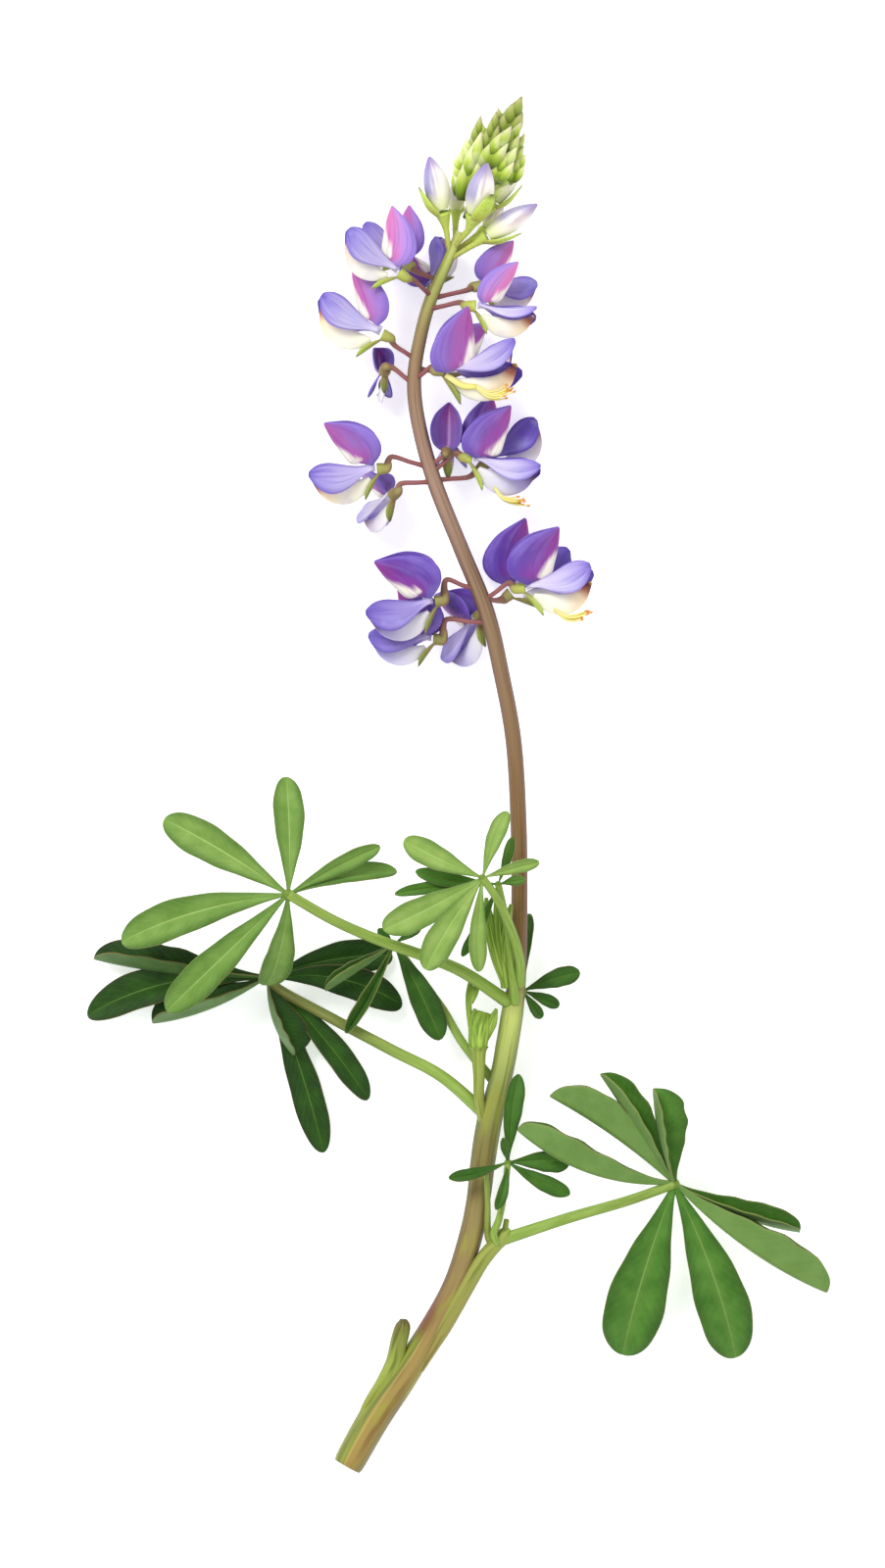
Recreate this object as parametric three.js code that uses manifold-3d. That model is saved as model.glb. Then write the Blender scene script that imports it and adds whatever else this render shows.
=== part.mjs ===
// A cut flowering stem of a lupin, lying on its side on a flat surface. Millimetres.
// +Y runs along the spike to its tip, +Z is up from the surface the stem rests on.
import * as THREE from "three";
import Module from "manifold-3d";

const wasm = await Module();
wasm.setup();

// ---- driving dimensions ----
const SHEET = 0.6; // thickness of leaflets, petals and calyx lips
const GAP = 0.3; // clearance between separate pieces
const STEM_SIDES = 10;
const STEM_STEPS = 23;
const BRANCH_SIDES = 8;
const PETIOLE_SIDES = 4;
const PEDICEL_RADIUS = 0.48;
const CALYX_RADIUS = 1.15;
const CALYX_LENGTH = 1.9; // straight part behind the petals
const CALYX_SETBACK = 0.12; // opening behind the mouth point
const BOX_CENTRE = [0, -1]; // middle of the laid-out plant, moved to the origin
const FLOOR_BLOCK = [400, 400, 40]; // block that cuts the stem's resting flat
const NECK_SWELL = 1.2; // radius of a pedicel's end, as a share of its radius
const CALYX_TAPER = 0.95; // radius at the back of a calyx, as a share of its opening's
const NEAR = 0.01; // step along a spline that its direction is measured over
const ACROSS = [-1, 0, 1]; // both edges and the fold of a blade

// Main stem, from the cut end to the tip of the rachis: [x, y, z, radius]
const STEM = [
  [-20.4, -125.3, 2.4, 2.8],
  [-15.4, -116.4, 2.4, 2.9],
  [-9.4, -107.6, 3.0, 2.6],
  [-4.5, -99.2, 4.0, 2.2],
  [-0.6, -91.6, 5.1, 2.05],
  [2.1, -83.8, 6.0, 2.15],
  [3.7, -76.4, 6.5, 2.2],
  [4.6, -69.0, 7.0, 2.25],
  [5.8, -61.7, 7.5, 2.3],
  [7.9, -53.6, 8.2, 2.05],
  [9.2, -46.7, 9.0, 2.05],
  [10.1, -41.0, 9.5, 2.0],
  [11.0, -33.8, 10.0, 1.55],
  [11.3, -23.0, 10.5, 1.5],
  [11.2, -8.6, 10.5, 1.5],
  [10.3, 7.7, 10.5, 1.45],
  [8.1, 20.3, 10.5, 1.45],
  [5.3, 32.0, 10.5, 1.45],
  [0.6, 43.7, 10.5, 1.4],
  [-4.4, 56.3, 10.5, 1.4],
  [-7.3, 67.1, 10.5, 1.32],
  [-8.0, 75.2, 10.5, 1.28],
  [-6.7, 83.3, 10.4, 1.2],
  [-4.9, 89.6, 10.2, 1.15],
  [-2.0, 96.2, 10.0, 1.0],
  [0.4, 101.8, 9.7, 0.9],
];
const BRANCH = [
  [-4.6, -103.2, 4.4, 1.1],
  [-2.2, -98.8, 5.0, 1.5],
  [2.4, -90.6, 6.2, 1.5],
  [4.8, -86.8, 6.9, 1.45],
  [7.8, -83.4, 7.6, 1.35],
];
// A strand of the stem that runs out into the round end of a lost shoot
const STUB = [
  [-16.2, -114.4, 2.8, 1.5],
  [-13.6, -110.0, 3.2, 1.6],
  [-11.7, -106.0, 3.8, 1.6],
  [-10.8, -102.2, 4.8, 1.6],
  [-10.1, -99.4, 5.6, 1.45],
  [-10.0, -98.1, 5.9, 0.7],
];
const SIDE_SHOOT_STEM = [
  [4.6, -61.5, 8.2, 0.9],
  [3.9, -57.0, 9.6, 1.0],
  [3.9, -53.0, 10.2, 1.1],
  [3.8, -49.0, 10.4, 1.4],
];
const TWIGS = [
  [
    [5.6, -82.6, 7.0, 0.7],
    [5.5, -76.5, 9.9, 0.55],
    [5.2, -70.8, 11.6, 0.45],
  ],
  [
    [8.2, -84.0, 7.4, 0.6],
    [9.0, -79.6, 8.2, 0.5],
  ],
];

// Leaves: the petiole from hub to stem [x, y, z, radius]; each leaflet's tip from the hub
// [x, y, z], its width, the fold of its halves, its roll about the midrib (degrees), and its
// arch upwards and sideways as a share of its length.
const LEAVES = {
  leaf_upper_left: {
    hub: 1.4,
    petiole: [
      [-31.0, -19.7, 22.0, 1.0],
      [-22.9, -24.4, 20.2, 0.95],
      [-14.8, -28.0, 18.0, 0.95],
      [-6.7, -30.9, 15.8, 0.95],
      [0.9, -34.0, 13.4, 0.95],
      [9.5, -39.8, 10.4, 1.0],
    ],
    leaflets: [
      [-0.5, 21.4, -2.0, 5.9, 14, 8, 0.05, -0.02],
      [-22.7, 13.7, -6.0, 7.2, 16, -6, 0.06, -0.02],
      [-30.6, -8.8, -9.0, 7.4, 14, 6, 0.07, -0.045],
      [-22.3, -21.4, -8.0, 6.8, 14, 4, 0.06, 0.0],
      [-4.1, -16.7, -14.0, 6.2, 18, -20, 0.1, 0.04],
      [16.7, 8.8, -1.0, 3.8, 26, 12, 0.05, 0.02],
      [19.8, 4.1, -5.0, 4.2, 24, -28, 0.07, 0.05],
    ],
  },
  leaf_lower_left: {
    hub: 1.4,
    petiole: [
      [-35.1, -35.2, 6.0, 1.0],
      [-32.8, -37.4, 6.4, 0.95],
      [-22.9, -42.8, 6.9, 0.95],
      [-12.1, -48.5, 7.2, 0.95],
      [-3.1, -53.2, 7.4, 0.95],
      [4.6, -59.8, 7.4, 1.0],
    ],
    leaflets: [
      [-33.1, -7.0, -5.3, 7.8, 22, 14, 0.05, -0.08],
      [-31.9, 3.4, -3.4, 10.4, 58, 58, 0.05, 0.03],
      [-21.0, -8.4, -2.6, 10.2, 56, 58, 0.05, 0.06],
      [4.7, -14.2, -2.4, 10.8, 54, -52, 0.12, -0.09],
      [10.4, -32.2, -5.2, 6.4, 22, 10, -0.03, 0.02],
      [18.5, -22.5, -5.0, 5.6, 26, -14, 0.02, 0.03],
      [24.8, -5.1, -3.4, 6.8, 20, 8, 0.04, 0.1],
      [23.0, 4.0, -5.0, 6.6, 16, -6, 0.02, 0.05],
    ],
  },
  leaf_right: {
    hub: 1.4,
    petiole: [
      [39.8, -73.0, 12.0, 0.95],
      [31.1, -76.1, 11.2, 0.9],
      [20.3, -79.3, 9.6, 0.9],
      [8.0, -83.4, 7.5, 0.95],
    ],
    leaflets: [
      [-28.8, 10.0, 3.4, 10.2, 68, 86, 0.03, 0.1],
      [-22.9, 16.2, 3.0, 11.6, 68, 94, 0.03, -0.03],
      [-13.7, 20.2, 3.4, 9.6, 68, 44, 0.04, 0.0],
      [-4.0, 17.6, 5.0, 11.4, 53, 48, 0.06, 0.045],
      [23.0, -9.0, -6.0, 8.6, 68, -42, 0.04, -0.05],
      [28.0, -20.0, -4.0, 12.0, 70, -88, 0.05, -0.05],
      [11.5, -32.2, -11.0, 10.0, 10, 4, 0.07, 0.03],
      [-9.4, -31.7, -11.0, 11.2, 10, -6, 0.07, -0.02],
    ],
  },
  leaf_small_front: {
    hub: 0.9,
    petiole: [
      [9.2, -69.0, 11.6, 0.65],
      [8.6, -74.3, 11.0, 0.6],
      [7.6, -79.4, 10.2, 0.6],
      [6.6, -82.2, 9.2, 0.65],
    ],
    leaflets: [
      [1.9, 16.2, 2.4, 3.9, 22, 10, 0.06, 0.02],
      [-10.8, -2.9, 0.6, 2.7, 30, 14, 0.05, 0.04],
      [-2.2, -8.6, 0.8, 2.6, 34, -20, 0.06, 0.03],
      [11.3, -5.9, 0.4, 3.6, 26, -10, 0.05, -0.03],
      [11.3, 0.0, -0.6, 4.6, 24, 16, 0.03, 0.04],
      [-0.9, 4.6, 4.0, 1.8, 30, 0, 0.04, 0.0],
    ],
  },
  leaf_young_front: {
    hub: 1.0,
    petiole: [
      [4.5, -16.7, 24.4, 0.75],
      [7.0, -20.3, 23.4, 0.75],
      [9.6, -25.7, 20.4, 0.75],
      [11.3, -31.4, 16.2, 0.75],
      [11.4, -36.4, 11.8, 0.8],
    ],
    leaflets: [
      [-14.3, 6.8, -2.0, 5.0, 16, 6, 0.05, 0.02],
      [4.5, 12.1, -1.0, 3.5, 20, -8, 0.06, 0.03],
      [10.3, 2.9, -1.4, 2.7, 26, 10, 0.06, 0.02],
      [-18.1, -9.4, -3.6, 6.0, 14, -4, 0.05, 0.02],
      [-10.4, -16.7, -3.4, 5.9, 16, 6, 0.05, -0.02],
      [-0.7, -17.1, -2.6, 3.6, 22, -10, 0.05, -0.03],
    ],
  },
  leaf_young_back: {
    hub: 0.9,
    petiole: [
      [7.4, -17.9, 18.4, 0.7],
      [9.2, -26.5, 16.8, 0.7],
      [9.9, -34.0, 13.9, 0.7],
      [10.6, -39.8, 11.0, 0.75],
    ],
    leaflets: [
      [-15.1, 2.3, 0.6, 3.2, 24, 12, 0.05, 0.04],
      [-18.9, -1.8, -0.6, 2.6, 28, 10, 0.05, -0.03],
      [4.9, 0.9, 0.4, 2.2, 28, 0, 0.05, 0.02],
      [-6.6, -13.2, -1.0, 2.4, 30, 10, 0.05, 0.03],
      [2.6, 8.6, 0.8, 2.2, 28, 0, 0.05, -0.02],
    ],
  },
  leaf_back_mid: {
    hub: 0.9,
    petiole: [
      [-11.7, -28.9, 9.4, 0.7],
      [-6.7, -35.6, 9.2, 0.7],
      [-2.7, -41.0, 8.6, 0.7],
      [1.0, -47.3, 7.4, 0.7],
      [6.6, -54.2, 7.0, 0.75],
    ],
    leaflets: [
      [-8.8, -16.4, -0.9, 5.4, 64, 8, 0.05, 0.03],
      [-12.5, -8.6, -1.4, 5.0, 74, 50, 0.05, 0.02],
      [8.5, -17.6, -0.6, 5.8, 24, -6, 0.05, 0.02],
      [-2.9, 2.7, 0.4, 1.8, 24, 0, 0.05, 0.0],
      [5.0, 3.2, 0.4, 1.9, 24, 0, 0.05, 0.0],
    ],
  },
  leaf_back_right: {
    hub: 0.9,
    petiole: [
      [12.0, -37.6, 5.6, 0.7],
      [11.2, -41.0, 6.4, 0.7],
      [10.2, -44.0, 8.2, 0.75],
    ],
    leaflets: [
      [10.4, 3.5, -1.4, 4.0, 24, 10, 0.06, 0.03],
      [6.6, -2.8, -2.0, 2.6, 26, 0, 0.05, 0.02],
      [3.4, -5.0, -2.6, 2.3, 26, 0, 0.05, 0.0],
      [1.3, 14.1, -2.4, 3.2, 26, -12, 0.05, 0.03],
    ],
  },
};

// Folded bundle beside the peduncle: spindles [[x, y, z, radius]...]
const SHOOT_UPPER = [
  [
    [8.9, -36.9, 11.4, 0.9],
    [8.4, -32.6, 12.4, 1.2],
    [7.6, -25.0, 13.2, 1.15],
    [7.2, -18.6, 13.0, 0.3],
  ],
  [
    [8.9, -36.6, 11.5, 0.8],
    [7.2, -31.4, 12.4, 1.2],
    [5.8, -25.0, 12.8, 1.0],
    [5.2, -20.4, 12.4, 0.3],
  ],
  [
    [9.0, -36.6, 11.6, 0.7],
    [8.5, -31.0, 12.9, 1.1],
    [9.0, -25.4, 13.8, 0.9],
    [9.8, -21.6, 13.6, 0.3],
  ],
];
const SIDE_SHOOT = [
  [
    [3.8, -48.4, 10.5, 1.4],
    [3.8, -46.0, 10.9, 1.9],
    [4.3, -43.4, 11.0, 2.1],
    [4.9, -41.4, 11.0, 1.2],
  ],
  [
    [2.9, -46.6, 11.0, 0.8],
    [2.8, -43.4, 11.4, 0.9],
    [3.2, -40.8, 11.6, 0.3],
  ],
  [
    [5.0, -46.4, 11.0, 0.8],
    [6.2, -43.4, 11.3, 0.9],
    [7.1, -40.8, 11.2, 0.3],
  ],
  [
    [2.8, -45.4, 11.0, 0.7],
    [2.1, -41.6, 10.6, 0.5],
    [2.1, -38.0, 10.2, 0.6],
    [2.6, -34.4, 10.0, 0.3],
  ],
  [
    [2.4, -39.8, 10.4, 0.5],
    [3.1, -37.8, 10.3, 0.7],
    [3.9, -35.4, 10.0, 0.3],
  ],
];

// Flowers. root: where the pedicel leaves the stem, as its Y; neck: [x, y] where the calyx
// starts; mouth: [x, y, z] where it opens. Angles in degrees. facing: heading (in the plane, from
// +X), pitch (nose up) and roll (back leaning up off the surface). banner: its turn about the
// side axis, and its depth as a share of a full-grown one. wings: turn of the near and of the far
// one, and the near one's outward lean. keel: its turn. size scales the petals.
const FLOWER_FIELDS = [
  "name", "root", "neck", "mouth", "facing", "banner", "wings", "keel", "size",
];
const FLOWERS = [
  ["11", 36.0, [-2.2, 37.9], [-4.3, 33.9, 13.4], [190, 4, 8], [-24, 1.0], [0, 0, 31], 0, 1.0],
  ["12", 30.0, [-2.2, 30.6], [-4.6, 27.1, 8.2], [177, -3, -6], [-9, 0.9], [0, 0, 31], 6, 0.93],
  ["13", 31.6, [4.4, 31.8], [3.6, 31.0, 7.9], [230, -36, 10], [4, 0.85], [0, 0, 31], 0, 0.9],
  ["14", 34.0, [9.4, 37.4], [12.4, 36.5, 13.2], [8, 4, 8], [-10, 1.0], [12, 4, 36], 2, 1.0],
  ["15", 34.6, [7.0, 34.2], [9.9, 35.6, 5.4], [38, -2, 0], [-27, 0.95], [0, 0, 31], 0, 1.04],
  ["21", 58.6, [-12.2, 60.5], [-14.9, 58.2, 13.4], [185, 4, 8], [-20, 0.85], [0, 0, 31], 0, 0.98],
  ["22", 56.0, [-10.4, 55.6], [-12.0, 53.5, 10.0], [214, -48, -6], [-28, 0.62], [0, 0, 31], 0, 0.8],
  ["23", 57.6, [-0.4, 61.2], [2.7, 60.2, 12.1], [-8, 4, 8], [3, 0.88], [2, -4, 56], 2, 1.0],
  ["24", 56.2, [2.0, 56.9], [5.3, 59.6, 5.2], [42, -2, 0], [-23, 0.9], [0, 0, 31], 0, 0.95],
  ["25", 58.8, [-2.6, 60.6], [-2.0, 61.3, 11.2], [30, -84, 0], [0, 0.85], [0, 0, 31], 12, 0.86],
  ["31", 78.4, [-11.6, 81.0], [-14.0, 83.0, 12.4], [156, 2, 2], [-24, 0.66], [10, 6, 31], 10, 1.03],
  ["32", 73.8, [-11.8, 76.8], [-13.5, 76.2, 9.0], [248, -62, 0], [4, 0.8], [0, 0, 31], 0, 0.64],
  ["33", 74.6, [-4.8, 77.0], [-2.4, 76.2, 15.6], [0, 4, 12], [14, 0.84], [26, -3, 60], 12, 1.12],
  ["34", 77.0, [-3.4, 76.0], [0.3, 76.6, 7.6], [26, -4, -38], [-30, 0.8], [0, 0, 31], 0, 0.82],
  ["41", 90.0, [-8.0, 92.8], [-10.9, 94.2, 16.6], [146, 4, 6], [-13, 0.78], [8, 6, 31], 12, 0.95],
  ["42", 93.0, [-7.6, 94.6], [-9.7, 96.6, 8.6], [137, 2, 2], [-12, 0.8], [0, 0, 31], 0, 0.8],
  ["43", 88.4, [-5.0, 90.2], [-4.6, 92.4, 4.0], [84, 2, 0], [-10, 0.8], [0, 0, 31], 0, 0.7],
  ["44", 87.6, [0.2, 88.8], [3.4, 88.0, 14.2], [-4, 4, 8], [-13, 0.65], [4, -8, 74], 0, 0.88],
  ["45", 89.6, [1.6, 91.2], [4.5, 91.9, 7.6], [3, -2, 0], [-10, 0.85], [0, 0, 31], 0, 0.8],
];
const STAMEN_FLOWERS = ["14", "23", "33"];
const CALYX_NECK = 0.36; // share of the way from stem height to mouth height at the neck

// A banner from the side, [forward, up]: its fold line, and the edge of one half
const BANNER_SPINE = [
  [0.5, 0.7],
  [2.6, 1.0],
  [4.7, 1.6],
  [5.5, 4.2],
  [6.1, 7.4],
  [6.3, 10.4],
];
const BANNER_EDGE = [
  [0.3, 1.0],
  [0.5, 0.2],
  [-2.6, 2.0],
  [-2.8, 5.2],
  [0.4, 8.6],
  [6.0, 10.7],
];
const BANNER_SPREAD = 0.46; // how far a half stands to the side, as a share of its depth
const BANNER_PIVOT = [4.7, 1.6];
const BANNER_STATIONS = [0, 0.28, 0.5, 0.8, 1];
const BANNER_HINGE = 0.4; // share of the banner's length over which its turn comes in
// A wing along its length: [forward, up, half width, distance from the middle]
const WING = [
  [0.7, 0.5, 0.6, 0.8],
  [2.6, 0.0, 0.9, 1.1],
  [4.6, -0.6, 1.8, 1.8],
  [6.9, -0.9, 2.8, 2.3],
  [9.0, -0.8, 3.2, 2.4],
  [10.9, -0.5, 2.6, 2.0],
  [12.2, -0.2, 1.3, 1.5],
  [12.7, -0.1, 0.5, 1.3],
];
const WING_LEAN = 31; // outward lean of a wing's lower edge, degrees
const WING_PIVOT = [0.7, 0.5];
const WING_STATIONS = [0, 0.4, 0.78, 1];
const WING_INNER = 0.48; // nearest a wing comes to the flower's middle plane
const WING_CUP = 0.12; // how far a wing's edges curl in, as a share of its half width
const PETAL_ROOT = [
  [0.3, 0, 0.5, 0.9],
  [2.0, 0, 0.5, 0.8],
];
// A keel along its length: [forward, up, half height, half width]
const KEEL = [
  [1.3, -1.7, 0.5, 0.5],
  [3.6, -3.3, 1.7, 0.9],
  [6.4, -4.2, 2.0, 1.05],
  [9.4, -3.5, 1.5, 0.9],
  [12.1, -1.1, 0.3, 0.3],
];
const KEEL_SIDES = 4;
// Stamens and style that hang out of a keel: [forward, to the side, up, radius]
const STAMENS = [
  [4.6, 0.3, -4.8, 0.45],
  [6.6, 0.9, -6.4, 0.5],
  [8.8, 1.0, -6.8, 0.45],
  [11.0, 1.0, -6.6, 0.32],
];
// The calyx's lower lip: a pointed boat below the keel
const LOWER_LIP = { from: [-0.5, -0.7], to: [2.5, -5.6], width: 2.2, hollow: 1.0 };
const LIP_OUTLINE = [0.5, 2, -2.35]; // width along the lip: constant, linear and square terms
const LIP_STATIONS = [0, 0.45, 1];

// Large buds below the head: [name, root Y, neck [x, y, z], petals from, petals to (x, y, z),
// petal radius]
const BUDS = [
  ["1", 97.6, [-2.2, 102.6, 11.4], [-2.9, 105.8, 12.4], [-5.2, 115.6, 12.8], 2.5],
  ["2", 98.6, [2.0, 102.2, 12.6], [3.0, 105.0, 13.8], [5.4, 114.2, 16.4], 2.5],
  ["3", 96.6, [3.4, 99.8, 10.6], [5.6, 101.2, 11.0], [14.6, 106.9, 11.4], 2.2],
  ["4", 99.6, [-0.4, 104.0, 7.2], [-0.3, 106.0, 6.4], [-0.2, 111.6, 5.0], 1.6],
  ["5", 100.0, [5.0, 105.2, 7.6], [6.8, 107.6, 7.0], [11.6, 116.2, 6.8], 2.2],
  ["6", 97.8, [3.6, 101.4, 6.0], [5.0, 102.8, 4.5], [8.4, 107.2, 3.6], 1.5],
];
const BUD_SETBACK = 0.45; // calyx opening behind the petals
const BUD_SIDES = 6;
const BUD_PROFILE = [0.55, 0.95, 1.0, 0.72, 0.16]; // radius along a bud, as shares of its largest
// The lower lip under a bud: [share of the bud's length, clearance outside it as a share of its
// radius and in mm], and how far round the bud it wraps, in degrees each way
const BUD_LIP = [
  [-0.14, 0.2, 0.3],
  [0.1, 0.75, 0.75],
  [0.5, 1.0, 0.75],
];
const BUD_LIP_WRAP = 62;
const BUD_LIP_TAPER = 0.9; // how much narrower the lip is at its tip
const BUD_NECK_SWELL = 1.4; // radius where a bud's calyx starts, as a share of its pedicel's
const BUD_SEAT = 0.62; // radius of a bud's calyx behind it, as a share of the bud's

// The head: an axis, the buds of its front, and smaller ones set round it by the golden angle
const HEAD_AXIS = [
  [1.6, 104.2, 9.8, 0.8],
  [4.0, 110.0, 9.8, 1.5],
  [6.2, 115.6, 9.7, 1.5],
  [9.4, 121.6, 9.6, 0.9],
];
// Buds of the front: [[x, y, z] from, [x, y, z] to, radius]
const FRONT_BUDS = [
  [[1.2, 107.6, 11.4], [4.0, 120.0, 13.6], 2.0],
  [[4.6, 113.0, 12.6], [9.6, 121.2, 14.2], 1.9],
  [[6.2, 110.4, 11.4], [10.6, 117.4, 13.0], 1.8],
  [[0.4, 108.4, 8.8], [1.4, 119.0, 8.6], 1.7],
  [[3.0, 115.4, 9.8], [4.0, 123.2, 10.6], 1.4],
  [[5.6, 116.0, 11.6], [6.9, 124.0, 12.4], 1.4],
  [[8.2, 115.6, 11.6], [11.5, 122.0, 12.4], 1.4],
  [[9.0, 113.2, 9.0], [12.2, 120.2, 9.2], 1.5],
  [[8.4, 118.6, 9.8], [11.5, 126.9, 10.4], 2.1],
  [[7.4, 118.8, 9.4], [9.8, 125.6, 9.4], 1.4],
];
const HEAD_BUDS = 12;
const HEAD_SPAN = [0.2, 0.9]; // shares of the axis where the first and the last bud sit
const GOLDEN_ANGLE = 137.508;
const HEAD_BUD_LENGTH = [9.0, 5.0]; // at the bottom and at the tip
const HEAD_BUD_RADIUS = [1.9, 1.2];
const HEAD_BUD_LEAN = [32, 10]; // degrees from the axis
const HEAD_BUD_SIDES = 4;
const HEAD_BUD_PROFILE = [0.5, 1.0, 0.2];

const MATERIALS = {
  stem: new THREE.MeshStandardMaterial({ name: "stem", color: 0x7d6a3a, roughness: 0.7 }),
  leaf: new THREE.MeshStandardMaterial({ name: "leaf", color: 0x5e8f3e, roughness: 0.65 }),
  petal: new THREE.MeshStandardMaterial({ name: "petal", color: 0x6a58b8, roughness: 0.6 }),
  keel: new THREE.MeshStandardMaterial({ name: "keel", color: 0xf1ecd6, roughness: 0.6 }),
  bud: new THREE.MeshStandardMaterial({ name: "bud", color: 0x9fb54a, roughness: 0.7 }),
};

// ---- numbers and vectors ----
const radians = THREE.MathUtils.degToRad;
const mix = (a, b, t) => a + (b - a) * t;
const vector = (row) => new THREE.Vector3(row[0], row[1], row[2]);

// The row at t (0 to 1) on a uniform Catmull-Rom spline through rows of numbers.
function spline(rows, t) {
  const last = rows.length - 1;
  const place = Math.min(Math.max(t, 0), 1) * last;
  const i = Math.min(Math.floor(place), last - 1);
  const f = place - i;
  const before = rows[Math.max(i - 1, 0)];
  const after = rows[Math.min(i + 2, last)];
  return rows[i].map((b, k) => {
    const a = before[k];
    const c = rows[i + 1][k];
    const d = after[k];
    const cubic = (3 * b - a - 3 * c + d) * f ** 3;
    return 0.5 * (2 * b + (c - a) * f + (2 * a - 5 * b + 4 * c - d) * f * f + cubic);
  });
}

function directionAt(rows, t) {
  return vector(spline(rows, t + NEAR)).sub(vector(spline(rows, t - NEAR))).normalize();
}

// Where on a stem-like line a given Y lies, as a share of its length.
function shareAtY(rows, y) {
  let low = 0;
  let high = 1;
  for (let step = 0; step < 40; step++) {
    const middle = (low + high) / 2;
    if (spline(rows, middle)[1] < y) low = middle;
    else high = middle;
  }
  return low;
}

// ---- closed bodies ----
function closed(points, faces) {
  const geometry = new THREE.BufferGeometry();
  const flat = points.flatMap((p) => [p.x, p.y, p.z]);
  geometry.setAttribute("position", new THREE.Float32BufferAttribute(flat, 3));
  geometry.setIndex(faces.flat());
  return geometry;
}

function toSolid(geometry) {
  return new wasm.Manifold(
    new wasm.Mesh({
      numProp: 3,
      vertProperties: geometry.attributes.position.array,
      triVerts: new Uint32Array(geometry.index.array),
    }),
  );
}

function toGeometry(solid) {
  const mesh = solid.getMesh();
  const positions = [];
  for (let i = 0; i < mesh.numVert; i++) {
    const at = i * mesh.numProp;
    positions.push(...mesh.vertProperties.subarray(at, at + 3));
  }
  const geometry = new THREE.BufferGeometry();
  geometry.setAttribute("position", new THREE.Float32BufferAttribute(positions, 3));
  geometry.setIndex(Array.from(mesh.triVerts));
  return geometry.toNonIndexed();
}

const unite = (solids) => solids.reduce((all, next) => all.add(next));

// Drops what a cut has left loose, and keeps the largest body.
function largestBody(solid) {
  return solid.decompose().reduce((a, b) => (b.volume() > a.volume() ? b : a));
}

// A body of stacked rings: each ring is a closed loop of points, run anticlockwise about the
// direction the stack grows in.
function stacked(rings) {
  const sides = rings[0].length;
  const points = rings.flat();
  const faces = [];
  const middle = (ring) =>
    ring.reduce((sum, p) => sum.add(p), new THREE.Vector3()).divideScalar(ring.length);
  for (let i = 0; i + 1 < rings.length; i++) {
    for (let k = 0; k < sides; k++) {
      const a = i * sides + k;
      const b = i * sides + ((k + 1) % sides);
      faces.push([a, b, b + sides], [a, b + sides, a + sides]);
    }
  }
  const start = points.length;
  points.push(middle(rings[0]), middle(rings.at(-1)));
  const top = (rings.length - 1) * sides;
  for (let k = 0; k < sides; k++) {
    const next = (k + 1) % sides;
    faces.push([start, next, k], [start + 1, top + k, top + next]);
  }
  return closed(points, faces);
}

// A round bar along a spline through [x, y, z, radius] rows.
function tube(rows, sides, steps) {
  const rings = [];
  let side = null;
  for (let i = 0; i <= steps; i++) {
    const t = i / steps;
    const row = spline(rows, t);
    const ahead = directionAt(rows, t);
    if (!side) side = new THREE.Vector3(ahead.z, 0, -ahead.x);
    if (side.lengthSq() < NEAR) side.set(1, 0, 0);
    side.addScaledVector(ahead, -side.dot(ahead)).normalize();
    const other = new THREE.Vector3().crossVectors(ahead, side);
    const ring = [];
    for (let k = 0; k < sides; k++) {
      const angle = (2 * Math.PI * k) / sides;
      const out = side.clone().multiplyScalar(Math.cos(angle)).addScaledVector(other, Math.sin(angle));
      ring.push(vector(row).addScaledVector(out, row[3]));
    }
    rings.push(ring);
  }
  return stacked(rings);
}

const bar = (rows, sides, steps) => toSolid(tube(rows, sides, steps));

// A sheet of even thickness about a surface (u, v) -> point, with u in 0..1 and v in -1..1.
function sheet(surface, alongs, acrosses, thickness) {
  const rowLength = acrosses.length;
  const count = alongs.length * rowLength;
  const upper = [];
  const lower = [];
  const reach = 0.02;
  for (const u of alongs) {
    for (const v of acrosses) {
      const du = surface(Math.min(u + reach, 1), v).sub(surface(Math.max(u - reach, 0), v));
      const dv = surface(u, Math.min(v + reach, 1)).sub(surface(u, Math.max(v - reach, -1)));
      const normal = du.cross(dv).normalize();
      const point = surface(u, v);
      upper.push(point.clone().addScaledVector(normal, thickness / 2));
      lower.push(point.addScaledVector(normal, -thickness / 2));
    }
  }
  const faces = [];
  for (let i = 0; i + 1 < alongs.length; i++) {
    for (let j = 0; j + 1 < rowLength; j++) {
      const a = i * rowLength + j;
      const b = a + rowLength;
      faces.push([a, b, b + 1], [a, b + 1, a + 1]);
      faces.push([count + a, count + b + 1, count + b], [count + a, count + a + 1, count + b + 1]);
    }
  }
  const rim = [];
  for (let i = 0; i < alongs.length; i++) rim.push(i * rowLength);
  for (let j = 1; j < rowLength; j++) rim.push((alongs.length - 1) * rowLength + j);
  for (let i = alongs.length - 2; i >= 0; i--) rim.push(i * rowLength + rowLength - 1);
  for (let j = rowLength - 2; j >= 1; j--) rim.push(j);
  rim.forEach((a, k) => {
    const b = rim[(k + 1) % rim.length];
    faces.push([a, count + a, count + b], [a, count + b, b]);
  });
  return toSolid(closed([...upper, ...lower], faces));
}

// ---- leaves ----
const LEAFLET_STATIONS = [0, 0.3, 0.6, 0.87, 1];
const LEAFLET_WIDEST = 0.7;
const LEAFLET_ROOT = 0.4; // how far from the hub's middle a leaflet starts
const LEAST_OPENING = 0.37; // half opening that keeps a folded leaflet's halves apart

// Half width of a leaflet along its length, as a share of its largest.
function leafletOutline(u) {
  const base = 0.1 + 0.9 * Math.sin((Math.PI / 2) * Math.min(u / LEAFLET_WIDEST, 1)) ** 1.5;
  const past = Math.max(0, (u - LEAFLET_WIDEST) / (1 - LEAFLET_WIDEST));
  return base * Math.max(Math.sqrt(1 - past ** 2.2), 0.2);
}

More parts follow.
